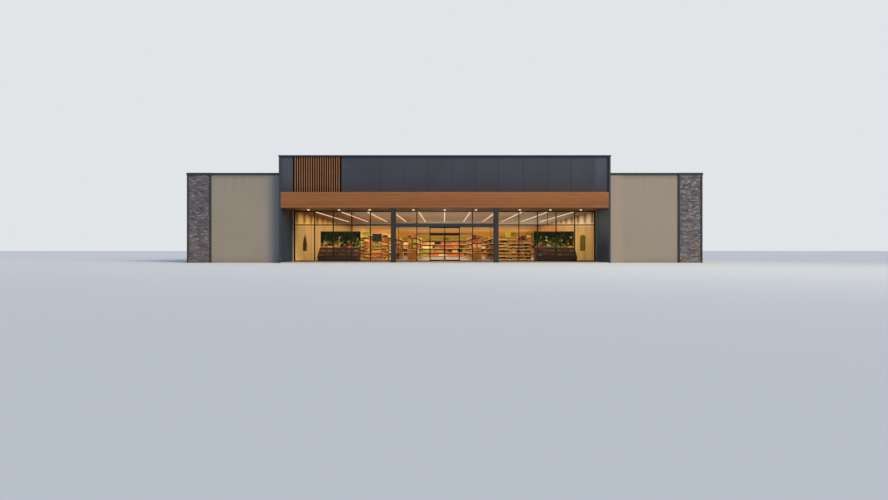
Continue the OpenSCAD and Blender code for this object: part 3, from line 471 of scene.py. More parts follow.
def clear_glass():
    """Window glass: reflects and refracts, and lets the lamps through."""
    s = Surface("clear glass", roughness=0.0)
    s.set(Base_Color=(0.97, 0.975, 0.95, 1.0), IOR=1.14, Transmission_Weight=1.0)
    s.set(Normal=s.bump(s.noise(0.9, 1.0), 0.0006))
    shadow = s.add("LightPath").outputs["Is Shadow Ray"]
    through = s.add("BsdfTransparent", {"Color": (0.94, 0.95, 0.925, 1.0)})
    mix = s.add("MixShader", {"Fac": shadow, 1: s.shader.outputs[0], 2: through.outputs[0]})
    s.feed(s.output.inputs["Surface"], mix.outputs[0])
    return s.material


def lamp_glow(name, colour, strength, rim_z, rim_colour=(226, 222, 212)):
    """Opal diffuser that glows below its rim."""
    s = Surface(name, roughness=0.45)
    below = s.under(s.axis("Z"), rim_z)
    speckle = s.remap(s.noise(35.0, 2.0), 0.3, 0.7, 0.92, 1.06)
    s.set(Base_Color=s.shade(rim_colour, speckle, 0.9, 1.0))
    s.set(Emission_Color=linear(colour))
    s.set(Emission_Strength=s.times(below, strength, speckle))
    return s.material


def ceiling_tiles():
    """Cool white tiles, greyer to the rear, with painted shade and warm bounce light next to the
    panelling and a painted sky reflection to the right rear.
    """
    s = Surface("ceiling tiles", roughness=0.85, specular=0.2)
    x, y = s.axis("X"), s.axis("Y")
    base = s.wash((192, 182, 174), y, -9.0, 0.0, (166, 158, 150))
    base = s.wash(base, y, 1.0, 6.0, (184, 186, 192))
    base = s.wash(base, s.off(x), 3.5, 6.0, (196, 206, 226), 0.55)
    # Painted shade with warm bounce light from the panelling near the side walls.
    base = s.wash(base, x, -6.8, -10.0, (132, 94, 38))
    base = s.wash(base, x, 6.5, 12.0, (172, 152, 128))
    # Painted sky reflection to the right rear.
    painted_sky_reflection = s.times(s.remap(x, 1.0, 6.0), s.remap(y, -9.0, 5.0, 0.1, 1.0))
    base = s.blend(painted_sky_reflection, base, (206, 226, 255))
    left_rear = s.times(s.remap(x, -2.0, -6.0), s.remap(y, -2.0, 5.0, 0.0, 0.7))
    base = s.blend(left_rear, base, (128, 140, 156))
    base = s.shade(base, s.noise(0.8, 4.0), 0.9, 1.08)
    lines = s.maths("MAXIMUM", s.joints(x, 0.6, 0.02), s.joints(y, 1.2, 0.02))
    base = s.shade(base, lines, 1.0, 0.75)
    return s.done(base, s.bump(s.noise(90.0, 3.0), 0.001))


def wall_panels():
    """Beech panelling in upright boards, with painted arcs of lamp light between the ribs and a
    painted shade under the ceiling.
    """
    s = Surface("wall panels", roughness=0.55, specular=0.15)
    board_w = 0.3
    x, y, z = (s.axis(name) for name in "XYZ")
    right = s.over(x, 0.0)
    grain = s.noise(1.0, 4.0, (14, 14, 0.6))
    base = s.wash((184, 148, 86), grain, 0.3, 0.7, (212, 178, 112))
    far_right = s.times(right, s.remap(y, -3.0, 5.0, 0.0, 0.9))
    base = s.blend(far_right, base, (200, 138, 74))
    level_z = s.maths("SUBTRACT", z, s.times(y, ARC_SLOPE))
    # Painted lamp light: above the foot of the arcs the boards take a paler tone.
    painted_arc_light_tone = s.blend(right, (240, 198, 112), (252, 228, 188))
    base = s.blend(s.remap(level_z, ARC_FOOT_Z - 0.15, ARC_FOOT_Z + 0.15), base, painted_arc_light_tone)
    number = s.maths("FLOOR", s.maths("DIVIDE", y, board_w))
    pick = s.add("TexWhiteNoise", {"W": number}, noise_dimensions="1D").outputs["Value"]
    base = s.shade(base, pick, 0.9, 1.06)
    seams = s.joints(y, board_w, 0.012)
    base = s.shade(base, seams, 1.0, 0.4)
    # Painted shade darkens the boards between the arcs of painted light.
    bay = s.maths("MODULO", s.maths("ADD", y, RIB_Y + 100 * RIB_PITCH), RIB_PITCH)
    off_centre = s.off(bay, RIB_PITCH / 2)
    beside_arc = s.remap(off_centre, RIB_PITCH * 0.2, RIB_PITCH * 0.42)
    upper = s.remap(level_z, ARC_FOOT_Z, ARC_FOOT_Z + 0.4)
    base = s.shade(base, s.times(beside_arc, upper), 1.0, 0.34)
    # Painted shade under the ceiling.
    base = s.shade(base, s.remap(z, ceiling_low.z - 0.3, ceiling_low.z), 1.0, 0.8)
    for side, middle, half_w, top, taper, colour in SLIM_PANELS:
        reach = s.maths("DIVIDE", s.maths("SUBTRACT", top, z), taper / half_w)
        reach = s.maths("MINIMUM", reach, half_w)
        off = s.off(y, middle)
        inside = s.times(s.under(off, reach), s.over(z, SLIM_FOOT), s.over(s.times(x, side), 0.0))
        leaf = s.shade(colour, s.noise(3.0, 5.0, shift=6.0), 0.4, 1.6)
        base = s.blend(inside, base, leaf)
    return s.done(base, s.sunk(seams, 0.004))


def display_paint():
    """Rear wall: pale cornice, orange paint with leafy patches, green strip, oiled timber."""
    s = Surface("display paint", roughness=0.6, specular=0.15)
    x, z = s.axis("X"), s.axis("Z")
    orange = s.ramp(s.noise(0.5, 3.0, (0.7, 1, 5.0)), [
        (0.3, (206, 132, 66)), (0.45, (220, 152, 78)), (0.58, (232, 184, 112)), (0.72, (214, 160, 70)),
    ])
    orange = s.shade(orange, s.noise(0.16, 2.0, (1, 1, 0.2), shift=2.0), 0.75, 1.2)
    orange = s.wash(orange, s.off(x), 8.0, 5.5, (184, 146, 84), 0.7)
    deeper = s.times(s.remap(z, 3.6, 3.25, 0.0, 0.85), s.remap(x, -7.2, -5.6))
    orange = s.blend(deeper, orange, (156, 106, 8))
    orange = s.wash(orange, z, 3.55, 3.85, (208, 174, 128), 0.6)
    orange = s.wash(orange, x, -9.8, -10.8, (255, 210, 138), 0.9)
    green = s.ramp(s.noise(1.6, 5.0), [(0.35, (78, 74, 6)), (0.6, (146, 140, 22))])
    base = s.blend(s.over(z, DISPLAY_BAND_Z), green, orange)
    leaves = s.noise(2.4, 5.0, rough=0.6, shift=8.0)
    ragged = s.maths("ADD", z, s.remap(leaves, 0.3, 0.7, -0.25, 0.25))
    for centre, half_w, top, pale in GREEN_PATCHES:
        off = s.off(x, centre)
        inside = s.times(s.remap(off, half_w, half_w * 0.8), s.remap(ragged, top, top - 0.15))
        leaf = s.shade((158, 160, 40), leaves, 0.35 * pale, 1.5 * pale)
        base = s.blend(inside, base, leaf)
    cornice = s.wash((236, 204, 164), x, -8.0, -10.0, (255, 240, 214))
    base = s.blend(s.over(z, CORNICE_Z), base, cornice)
    wood = s.ramp(s.noise(1.0, 4.0, (1.2, 12, 12)), [(0.3, (134, 88, 46)), (0.7, (170, 120, 70))])
    base = s.blend(s.under(z, DISPLAY_STRIP_Z), base, wood)
    return s.done(base, s.bump(s.noise(20.0), 0.001))


def leafy_board():
    """Dark green board with a leafy mottle, a yellower foot and a few pale spots."""
    s = Surface("leafy board", roughness=0.6, specular=0.05)
    leaves = s.add("TexVoronoi", {"Vector": s.place, "Scale": 6.0}).outputs["Distance"]
    z = s.axis("Z")
    mottle = s.noise(2.4, 6.0, rough=0.65)
    base = s.ramp(mottle, [(0.36, (8, 13, 2)), (0.52, (24, 33, 4)), (0.66, (56, 68, 12))])
    tufts = s.remap(s.noise(2.6, 4.0, shift=7.0), 0.44, 0.6)
    base = s.blend(s.times(s.remap(z, 1.95, 1.5), tufts), base, (150, 136, 30))
    base = s.shade(base, leaves, 1.3, 0.55)
    spots = s.remap(s.noise(3.6, 1.5, shift=4.0), 0.6, 0.66)
    base = s.blend(s.times(spots, s.remap(z, 2.25, 2.1)), base, (206, 200, 140))
    return s.done(base, s.bump(leaves, 0.003))


def goods_paper():
    """Plain wrappers and boxes in a few shop colours."""
    s = Surface("goods", roughness=0.55, specular=0.2)
    base = s.ramp(s.tone(), [
        (0.0, (214, 120, 34)), (0.15, (164, 94, 36)), (0.28, (246, 186, 66)), (0.41, (92, 52, 24)),
        (0.52, (198, 136, 60)), (0.65, (214, 98, 28)), (0.76, (250, 216, 140)), (0.82, (160, 162, 38)),
        (0.89, (48, 30, 20)), (0.95, (138, 42, 22)),
    ], stepped=True)
    x = s.axis("X")
    # Painted light brightens the goods left of X -6.6; right of X 1 they grow darker up to X 4, and
    # lighter again beyond X 6.6.
    for start, end, level in ((-6.6, -7.0, 1.3), (1.0, 4.0, 0.6), (6.6, 7.2, 1.35)):
        base = s.shade(base, s.remap(x, start, end), 1.0, level)
    base = s.shade(base, s.remap(s.noise(7.0, 3.0), 0.3, 0.7), 0.55, 1.3)
    return s.done(base, s.bump(s.noise(50.0), 0.001))


def header_metal():
    """Blue-grey header casing over the near-black door head and mullions."""
    s = Surface("header metal", specular=0.2, roughness=0.4)
    edge = HEADER_EDGE_Z
    base = s.wash((32, 28, 24), s.axis("Z"), edge, edge + 0.02, (88, 100, 106))
    base = s.shade(base, s.noise(0.6, 3.0), 0.9, 1.1)
    return s.done(base, s.coat_grain())


def fruit():
    """Fruit of several kinds, darker low down in the crates."""
    s = Surface("fruit", roughness=0.42)
    base = s.ramp(s.tone(), [
        (0.0, (226, 118, 30)), (0.25, (168, 70, 28)), (0.45, (226, 182, 60)),
        (0.62, (120, 132, 44)), (0.8, (92, 40, 52)), (0.9, (222, 176, 116)),
    ], stepped=True)
    base = s.shade(base, s.remap(s.axis("Z"), 1.25, 0.9), 1.0, 0.3)
    base = s.shade(base, s.noise(30.0, 3.0), 0.8, 1.12)
    return s.done(base, s.bump(s.noise(140.0), 0.0008))


def hall_floor():
    """Floor tiles of the hall and portico."""
    s = Surface("floor tiles", specular=0.5)
    lines = s.maths("MAXIMUM", s.joints(s.axis("X"), 0.8, 0.012), s.joints(s.axis("Y"), 0.8, 0.012))
    base = s.shade((176, 168, 156), s.noise(0.7, 6.0), 0.88, 1.08)
    base = s.shade(base, lines, 1.0, 0.6)
    s.set(Roughness=s.remap(s.noise(3.0), 0.3, 0.7, 0.22, 0.4))
    return s.done(base, s.sunk(lines, 0.001))


def plain_coat(name, colour, roughness=0.8, metallic=0.0, shine=0.3):
    """Plain finish with a soft mottle and a fine bump."""
    s = Surface(name, roughness=roughness, metallic=metallic, specular=shine)
    base = s.shade(colour, s.noise(2.4, 5.0), 0.9, 1.1)
    return s.done(base, s.bump(s.noise(180.0), 0.0005))


def studio_floor():
    """Plain pale floor of the studio."""
    s = Surface("studio floor", roughness=0.9, specular=0.1)
    s.set(Base_Color=s.shade((224, 224, 222), s.noise(0.05, 3.0), 0.985, 1.0))
    return s.material


# Each finish: its material, then the nodes of the frame that wear it
FINISHES = {
    "floor_concrete": (hall_floor(), "floor_slabs"),
    "stucco": (stucco("stucco"), "front_wall_left", "front_wall_right", "lintel_wall"),
    "side_stucco": (stucco("side stucco", "Y"), "side_wall_left", "side_wall_right"),
    "rear_stucco": (stucco("rear stucco", "X"), "rear_wall"),
    "inner_plaster": (
        plain_coat("inner plaster", (196, 186, 168)), "hall_wall_left", "hall_wall_right",
    ),
    "stone_cladding": (stone(),),
    "dark_trim": (painted_metal("dark trim", (52, 52, 55)), "pier_trims"),
    "roof_membrane": (membrane(), "main_roof_deck", "front_roof_decks", "portal_roof_deck"),
    "portal_metal": (
        painted_metal("portal metal", (56, 58, 68), end_x=END_SHEET_X, painted_shade_foot_z=beam_high.z),
        "portal_rear_wall", "fascia_sheets",
    ),
    "fin_metal": (fin_metal(), "portal_fin_left", "portal_fin_right"),
    "portal_coping_metal": (painted_metal("portal coping", (40, 52, 78)), "portal_coping"),
    "wing_coping_metal": (painted_metal("wing coping", (50, 53, 56)), "wing_coping"),
    "slat_backing": (plain_coat("slat backing", (32, 12, 4), shine=0.05), "fascia_wall"),
    "slat_timber": (timber(
        "slat timber", (122, 84, 60), (150, 108, 80), "Z", source="island", shine=0.15,
        # Painted shade: the slats darken just above the canopy.
        foot=(beam_high.z, 0.6, 0.72),
    ), "timber_slats"),
    "canopy_timber": (timber(
        "canopy timber", (130, 80, 44), (146, 92, 54), "X", contrast=0.5, shine=0.25,
        foot=(beam_low.z + 0.3, 0.4, 0.89),
    ),),
    "soffit_timber": (timber("soffit timber", (106, 62, 30), (138, 83, 44), "X"),),
    "light_lens": (
        lamp_glow("downlight", (255, 234, 196), 1.1, soffit_low.z - 0.045, (176, 146, 110)),
        "soffit_downlights",
    ),
    "column_metal": (painted_metal("column metal", (47, 47, 47)), "portico_columns"),
    "dark_aluminium": (
        painted_metal("dark aluminium", (24, 21, 20), roughness=0.36),
        "shopfront_frame_left", "shopfront_frame_right", "entrance_posts", "door_hood",
        "door_leaf_left", "door_leaf_right",
    ),
    "header_metal": (header_metal(), "entrance_rails"),
    "clear_glass": (
        clear_glass(), "shopfront_glass_left", "shopfront_glass_right", "entrance_glass",
        "door_glass_left", "door_glass_right",
    ),
    "track_aluminium": (plain_coat("track aluminium", (130, 130, 132), 0.35, 0.9), "door_track"),
    "guide_steel": (plain_coat("guide steel", (150, 150, 152), 0.3, 1.0), "door_guides"),
    "ceiling_board": (ceiling_tiles(), "hall_ceiling"),
    "ceiling_light": (
        lamp_glow("ceiling light", (255, 228, 196), 0.66, ceiling_low.z - 0.004), "ceiling_lights",
    ),
    "lining_timber": (wall_panels(), "hall_linings"),
    "display_paint": (display_paint(), "rear_display_wall"),
    "shelf_timber": (
        timber("shelf timber", (112, 74, 42), (146, 102, 62), "Y", source="island"),
        "shelving_rows",
    ),
    "stand_timber": (
        timber("stand timber", (50, 34, 27), (76, 52, 38), "X", source="island", shine=0.15),
        "produce_stands",
    ),
    "green_board": (leafy_board(), "display_boards"),
    "goods": (goods_paper(),),
    "price_card": (plain_coat("price card", (226, 196, 142), 0.55),),
    "bin_board": (timber("bin board", (194, 146, 80), (230, 182, 110), "X", shine=0.2),),
    "crate_board": (timber("crate board", (150, 92, 40), (196, 130, 62), "X", shine=0.2),),
    "dark_casing": (plain_coat("dark casing", (34, 40, 34), 0.5),),
    "pale_angle": (plain_coat("pale angle", (176, 156, 132), 0.5),),
    "fruit": (fruit(),),
}

for material, *names in FINISHES.values():
    for name in names:
        mesh = nodes[name].data
        mesh.materials.clear()
        mesh.materials.append(material)


def placed(name, data):
    """Object with the given data, linked to the scene."""
    made = bpy.data.objects.new(name, data)
    bpy.context.scene.collection.objects.link(made)
    return made


class Shape:
    """Gathers small solids that become one mesh, with a tone from 0 to 1 on each."""

    def __init__(self):
        self.points = []
        self.faces = []
        self.tones = []

    def add(self, points, faces, tone):
        first = len(self.points)
        self.points += points
        self.faces += [[first + i for i in face] for face in faces]
        self.tones += [tone] * len(faces)

    def block(self, x, y, z, tone=0.5):
        corners = [(i, j, k) for k in z for j in y for i in x]
        faces = [(0, 2, 3, 1), (4, 5, 7, 6), (0, 1, 5, 4), (2, 6, 7, 3), (0, 4, 6, 2), (1, 3, 7, 5)]
        self.add(corners, faces, tone)

    def board(self, x, y, z, ease, face, tone=0.5):
        """Block whose face towards the front or downwards has eased edges."""
        front = face == "front"
        depth, ends = (y, z) if front else (z, (y[1], y[0]))
        inward = ease if front else -ease
        points = []
        for level, step in ((depth[1], 0), (depth[0] + ease, 0), (depth[0], 1)):
            left, right = x[0] + step * ease, x[1] - step * ease
            low, high = ends[0] + step * inward, ends[1] - step * inward
            for across, along in ((left, low), (right, low), (right, high), (left, high)):
                points.append((across, level, along) if front else (across, along, level))
        faces = [(3, 2, 1, 0), (8, 9, 10, 11)]
        for ring in (0, 4):
            for i in range(4):
                j = (i + 1) % 4
                faces.append((ring + i, ring + j, ring + 4 + j, ring + 4 + i))
        self.add(points, faces, tone)

    def piece(self, name, finish, replaces=()):
        mesh = bpy.data.meshes.new(name)
        mesh.from_pydata(self.points, [], self.faces)
        mesh.attributes.new("tone", "FLOAT", "FACE").data.foreach_set("value", self.tones)
        mesh.materials.append(FINISHES[finish][0])
        made = placed(name, mesh)
        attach(made, BODY)
        if replaces:
            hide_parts(*replaces)


def ledge_stones(node, seed, pale_share):
    """Split stones laid in low courses over one pier, in front of a dark bed."""
    rng = random.Random(seed)
    low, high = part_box(node)
    shape = Shape()
    bed = low.y + STONE_BED
    shape.block((low.x, high.x), (bed, high.y), (low.z, high.z), 0.0)
    z = low.z
    while z < high.z - 0.01:
        course = min(rng.choice(STONE_COURSES), high.z - z)
        x = low.x
        while x < high.x - 0.01:
            length = rng.uniform(*STONE_LENGTHS)
            if high.x - x - length < STONE_FACET:
                length = high.x - x
            across = (x, x + length - STONE_JOINT)
            rise = (z, z + course - STONE_JOINT)
            stone_block(shape, rng, across, low.y, bed, rise, pale_share)
            x += length
        z += course
    shape.piece(f"{node}_stones", "stone_cladding", (node,))


def stone_block(shape, rng, x, front, bed, z, pale_share):
    """One stone: a rough face of a few facets, rounded down to its joints."""
    columns = max(2, round((x[1] - x[0]) / STONE_FACET))
    proud = rng.uniform(0.004, 0.014)
    grid = []
    for row, v in enumerate(STONE_ROWS):
        for column in range(columns + 1):
            edge = row in (0, 3) or column in (0, columns)
            depth = front + proud + (STONE_FALL if edge else rng.uniform(*STONE_ROUGH))
            u = column / columns
            grid.append((x[0] + (x[1] - x[0]) * u, depth, z[0] + (z[1] - z[0]) * v))
    faces = []
    width = columns + 1
    for row in range(3):
        for column in range(columns):
            a = row * width + column
            faces.append((a, a + 1, a + 1 + width, a + width))
    rim = list(range(width))
    rim += [row * width + columns for row in (1, 2, 3)]
    rim += [3 * width + i for i in range(columns - 1, -1, -1)]
    rim += [row * width for row in (2, 1)]
    first = len(grid)
    grid += [(grid[i][0], bed + 0.004, grid[i][2]) for i in rim]
    for i in range(len(rim)):
        j = (i + 1) % len(rim)
        faces.append((rim[j], rim[i], first + i, first + j))
    small = (x[1] - x[0]) * (z[1] - z[0]) < 0.025
    pale = small and rng.random() < pale_share
    tone = rng.uniform(0.84, 1.0) if pale else rng.triangular(0.0, 0.85, 0.45)
    shape.add(grid, faces, tone)


def board_rows(shape, rng, x, y, z, rows, length, ease, face):
    """Rows of boards end to end along X, with staggered butt joints."""
    low, high = z if face == "front" else y
    width = (high - low) / rows
    for row in range(rows):
        edge = low + row * width
        across = (edge + BOARD_GAP / 2, edge + width - BOARD_GAP / 2)
        place = x[0] - rng.uniform(0.0, 0.8) * length
        while place < x[1] - 0.05:
            start = max(place, x[0])
            end = min(place + length, x[1])
            ends = (start + BOARD_GAP / 4, end - BOARD_GAP / 4)
            sides = (y, across) if face == "front" else (across, z)
            shape.board(ends, *sides, ease, face, rng.random())
            place += length


def canopy_cladding():
    """Five rows of boards on the face of the canopy beam, over its core."""
    rng = random.Random(11)
    board_t = 0.026
    x, y, z = zip(beam_low, beam_high)
    face_y = y[0] + board_t
    shape = Shape()
    shape.block(x, (face_y - BOARD_LAP, y[1]), (z[0], z[1] - 0.001), 0.0)
    board_rows(shape, rng, x, (y[0], face_y), z, 5, 4.16, 0.004, "front")
    shape.piece("canopy_boards", "canopy_timber", ("canopy_beam",))


def soffit_boards():
    """Rows of boards under the soffit, below its core."""
    rng = random.Random(12)
    board_t = 0.02
    x, y, z = zip(soffit_low, soffit_high)
    top_z = z[0] + board_t
    shape = Shape()
    shape.block(x, y, (top_z - BOARD_LAP, z[1]), 0.0)
    board_rows(shape, rng, x, y, (z[0], top_z), 23, 3.6, 0.003, "down")
    shape.piece("soffit_boards", "soffit_timber", ("canopy_soffit",))


def jamb_trims():
    """Pale angle and dark cover strip between each fin and the glazed front."""
    angle_w = 0.08
    angle_leg = 0.05
    cover_w = 0.13
    sheet_t = 0.004
    angles = Shape()
    covers = Shape()
    proud = 0.012
    head_gap = 0.002
    front = frame_low.y - proud
    z = (frame_low.z, soffit_low.z - head_gap)
    for side in (-1, 1):
        face = side * abs(frame_low.x)
        edge = face - side * angle_w
        angles.block(sorted((face, edge)), (front, front + sheet_t), z)
        angles.block(sorted((face, face - side * sheet_t)), (front - angle_leg, front), z)
        cover_x = sorted((edge, edge - side * cover_w))
        covers.board(cover_x, (front - sheet_t, frame_low.y), z, sheet_t, "front")
    angles.piece("jamb_angles", "pale_angle")
    covers.piece("jamb_covers", "dark_aluminium")


def slim_bars():
    """Slim glazing bars on the front of the glass, from one rail to the next."""
    glass_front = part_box("entrance_glass")[0].y
    shape = Shape()
    for middle, foot, top in SLIM_BARS:
        x = (middle - SLIM_BAR_W / 2, middle + SLIM_BAR_W / 2)
        shape.board(x, (glass_front - SLIM_BAR_D, glass_front), (foot, top), 0.004, "front")
    shape.piece("slim_bars", "dark_aluminium")


def roof_seams():
    """Welded laps of the roof sheets, which follow the falls of both decks."""
    shape = Shape()
    lap_w = 0.08
    lap_t = 0.004
    main_pitch = 2.0
    edge_gap = 0.3
    low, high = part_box("main_roof_deck")
    half = high.x
    laps = int(half / main_pitch)
    for i in range(-laps, laps + 1):
        x = i * main_pitch
        top = high.z - ROOF_FALL * (abs(x) + lap_w) / half
        if abs(x) < half - edge_gap:
            shape.block((x - lap_w / 2, x + lap_w / 2), (low.y, high.y), (top - lap_t, top + lap_t))
    portal_pitch = 1.4
    first_gap = 1.2
    last_gap = 0.4
    low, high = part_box("portal_roof_deck")
    y = low.y + first_gap
    while y < high.y - last_gap:
        top = high.z - ROOF_FALL * (y - low.y) / (high.y - low.y)
        shape.block((low.x, high.x), (y, y + lap_w), (top - lap_t, top + lap_t))
        y += portal_pitch
    shape.piece("roof_laps", "roof_membrane")


def shelf_goods():
    """Goods on the shelves of the rows and the rear wall, with price strips on the lips."""
    rng = random.Random(21)
    strips = Shape()
    for side, name in ((-1, "goods_left"), (1, "goods_right")):
        shape = Shape()
        for centre in ROW_CENTRES:
            for face in (-1, 1):
                row_goods(shape, strips, rng, side * centre, face)
        shape.piece(name, "goods")
    rear_goods(strips, rng)
    strips.piece("price_strips", "price_card")


def row_goods(shape, strips, rng, middle, face):
    """Goods and price strips on one side of a shelving row."""
    low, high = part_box("shelving_rows")
    along = (low.y + GOODS_END, high.y - GOODS_END)
    inner = middle + face * (SPINE_HALF + GOODS_GAP)
    edge = middle + face * (SPINE_HALF + SHELF_DEPTH)
    across = sorted((inner, edge - face * (LIP_T + GOODS_GAP)))
    card = sorted((edge - face * CARD_IN, edge + face * CARD_OUT))
    for level in range(ROW_LEVELS):
        shelf = low.z + PLINTH + level * SHELF_STEP
        room = SHELF_STEP - SHELF_T - BRACKET_H if level < ROW_LEVELS - 1 else TOP_ROOM
        fill_shelf(shape, rng, along, across, shelf, room, "Y")
        strips.block(card, (low.y, high.y), (shelf - SHELF_T, shelf + CARD_H), rng.random())


def rear_goods(strips, rng):
    """Goods and price strips on the shelves along the rear wall."""
    low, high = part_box("rear_display_wall")
    along = (low.x + GOODS_END, high.x - GOODS_END)
    across = (low.y + LIP_T + GOODS_GAP, low.y + SHELF_DEPTH - GOODS_GAP)
    card = (low.y - CARD_OUT, low.y + CARD_IN)
    room = WALL_SHELF_STEP - SHELF_T - BRACKET_H
    shape = Shape()
    for level in range(WALL_LEVELS):
        shelf = low.z + PLINTH + level * WALL_SHELF_STEP
        fill_shelf(shape, rng, along, across, shelf, room, "X")
        strips.block((low.x, high.x), card, (shelf - SHELF_T, shelf + CARD_H))
    shape.piece("goods_rear", "goods")


def fill_shelf(shape, rng, along, across, shelf, room, axis):
    """Packs side by side along a shelf, a few alike at a time."""
    place, end = along
    while place < end - 0.1:
        width = rng.uniform(0.1, 0.3)
        height = room * rng.uniform(0.6, 0.96)
        tone = rng.random()
        for _ in range(rng.randint(2, 6)):
            if place + width > end:
                break
            run = (place, place + width - 0.012)
            depth = (across[0] + rng.uniform(0.0, 0.03), across[1] - rng.uniform(0.0, 0.03))
            rise = (shelf, shelf + height * rng.uniform(0.97, 1.0))
            shape.block(depth if axis == "Y" else run, run if axis == "Y" else depth, rise, tone)
            place += width
        place += rng.uniform(0.0, 0.03)


def crate(shape, x, y, z, tone):
    """Open slatted crate: a floor and two slats on each side."""
    wall = 0.012
    rise = z[1] - z[0]
    shape.block(x, y, (z[0], z[0] + wall), tone)
    for end_x, end_y in ((x[0], y[0]), (x[1] - wall, y[1] - wall)):
        for low, high in ((0.1, 0.34), (0.44, 0.66)):
            slat = (z[0] + rise * low, z[0] + rise * high)
            shape.block(x, (end_y, end_y + wall), slat, tone)
            shape.block((end_x, end_x + wall), (y[0] + wall, y[1] - wall), slat, tone)


def end_stacks():
    """Crates, bins and boxes of goods before the ends of the shelving rows."""
    rng = random.Random(41)
    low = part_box("shelving_rows")[0]
    crates = Shape()
    fruits = Shape()
    crate_w, crate_d, crate_h = STACK_CRATE
    front = low.y - STACK_GAP - crate_d
    y = (front, front + crate_d)
    for centre, layers in STACK_LAYERS:
        for half in (-1, 0):
            x0 = centre + half * crate_w + CRATE_GAP
            x = (x0, x0 + crate_w - 2 * CRATE_GAP)
            for layer in range(layers - rng.randint(0, 1)):
                z0 = low.z + layer * crate_h
                crate(crates, x, y, (z0, z0 + crate_h - 0.004), rng.random())
                crate_fruit(fruits, rng, x[0] + 0.055, y[0] + 0.055, z0, crate_h)
    crates.piece("end_crates", "crate_board")
    fruits.piece("end_fruit", "fruit")
    fill_bins(rng, low)


def crate_fruit(fruits, rng, x0, y0, z0, crate_h):
    """Level rows of one kind of fruit in a crate."""
    tone = rng.choice((0.05, 0.3, 0.5, 0.95, 0.95))
    pitch = 0.08
    for i in range(5):
        for j in range(4):
            height = z0 + crate_h * rng.uniform(0.5, 0.72)
            ball(fruits, (x0 + i * pitch, y0 + j * pitch, height), 0.044, tone)


def fill_bins(rng, low):
    """Open-fronted bins with goods in each tier, and what stands on top of them."""
    boards = Shape()
    goods = Shape()
    casing = Shape()
    back = low.y - STACK_GAP
    for place, width, tiers, tier_h, top in BIN_PLACES:
        lip, tones = BIN_SIDES[0 if place < 0 else 1]
        x = (place, place + width - BIN_GAP)
        y = (back - rng.uniform(*BIN_DEPTHS), back)
        z = low.z + BIN_FOOT
        for _ in range(tiers):
            bin_boards(boards, x, y, z, tier_h, lip, rng.random())
            bin_goods(goods, rng, x, y, z, tier_h, tones)
            z += tier_h
        boards.block(x, y, (z, z + BIN_T))
        z += BIN_T
        if top == "boxes":
            top_boxes(goods, rng, x, y, z, tones)
        elif top == "casing":
            top_casing(casing, x, y, z)
    boards.piece("bin_boards", "bin_board")
    goods.piece("bin_goods", "goods")
    casing.piece("bin_casing", "dark_casing")


def bin_boards(boards, x, y, z, tier_h, lip, lip_tone):
    """Floor, lip and sides of one tier of a bin."""
    foot = z + BIN_T
    inner = y[0] + BIN_T
    boards.block(x, y, (z, foot))
    boards.block(x, (y[0], inner), (foot, z + lip), lip_tone)
    for side in (x[0], x[1] - BIN_T):
        boards.block((side, side + BIN_T), (inner, y[1]), (foot, z + tier_h), 0.1)


def bin_goods(goods, rng, x, y, z, tier_h, tones):
    """Two to four packs side by side in one tier of a bin, mostly alike."""
    packs = rng.randint(2, 4)
    step = (x[1] - x[0] - 2 * BIN_T) / packs
    tone = rng.choice(tones)
    for i in range(packs):
        if rng.random() < 0.25:
            tone = rng.choice(tones)
        left = x[0] + BIN_T + i * step
        rise = (z + BIN_T, z + tier_h * rng.uniform(0.45, 0.85))
        depth = (y[0] + rng.uniform(0.02, 0.1), y[1] - 0.02)
        goods.block((left + 0.004, left + step - 0.004), depth, rise, tone)


def top_boxes(goods, rng, x, y, z, tones):
    """Boxes of several sizes on top of a bin."""
    depth = (y[0] + 0.05, y[1] - 0.05)
    left = x[0]
    while left < x[1] - 0.12:
        step = rng.uniform(0.1, 0.2)
        rise = (z, z + rng.uniform(0.12, 0.34))
        goods.block((left, min(left + step, x[1])), depth, rise, rng.choice(tones))
        left += step + 0.01


def top_casing(casing, x, y, z):
    """Dark casing with a plinth and a cap, which stands on a bin."""
    plinth, cap_foot, cap_top = (z + rise for rise in (0.05, 0.68, 0.74))
    inset = 0.02
    wide = (y[0] + inset, y[1])
    casing.block(x, wide, (z, plinth))
    casing.block((x[0] + inset, x[1] - inset), (y[0] + 0.05, y[1] - 0.03), (plinth, cap_foot))
    casing.block(x, wide, (cap_foot, cap_top))


def ball(shape, centre, radius, tone):
    """Small round fruit of three rings."""
    rings = 3
    sides = 6
    x, y, z = centre
    points = [(x, y, z - radius)]
    for ring in range(1, rings + 1):
        polar = math.pi * ring / (rings + 1)
        for side in range(sides):
            turn = 2 * math.pi * (side + 0.5 * ring) / sides
            points.append((
                x + radius * math.sin(polar) * math.cos(turn),
                y + radius * math.sin(polar) * math.sin(turn),
                z - radius * math.cos(polar),
            ))
    points.append((x, y, z + radius))
    faces = []
    for side in range(sides):
        after = (side + 1) % sides
        faces.append((0, 1 + after, 1 + side))
        for ring in range(rings - 1):
            a = 1 + ring * sides
            faces.append((a + side, a + after, a + sides + after, a + sides + side))
        last = 1 + (rings - 1) * sides
        faces.append((last + side, last + after, len(points) - 1))
    shape.add(points, faces, tone)


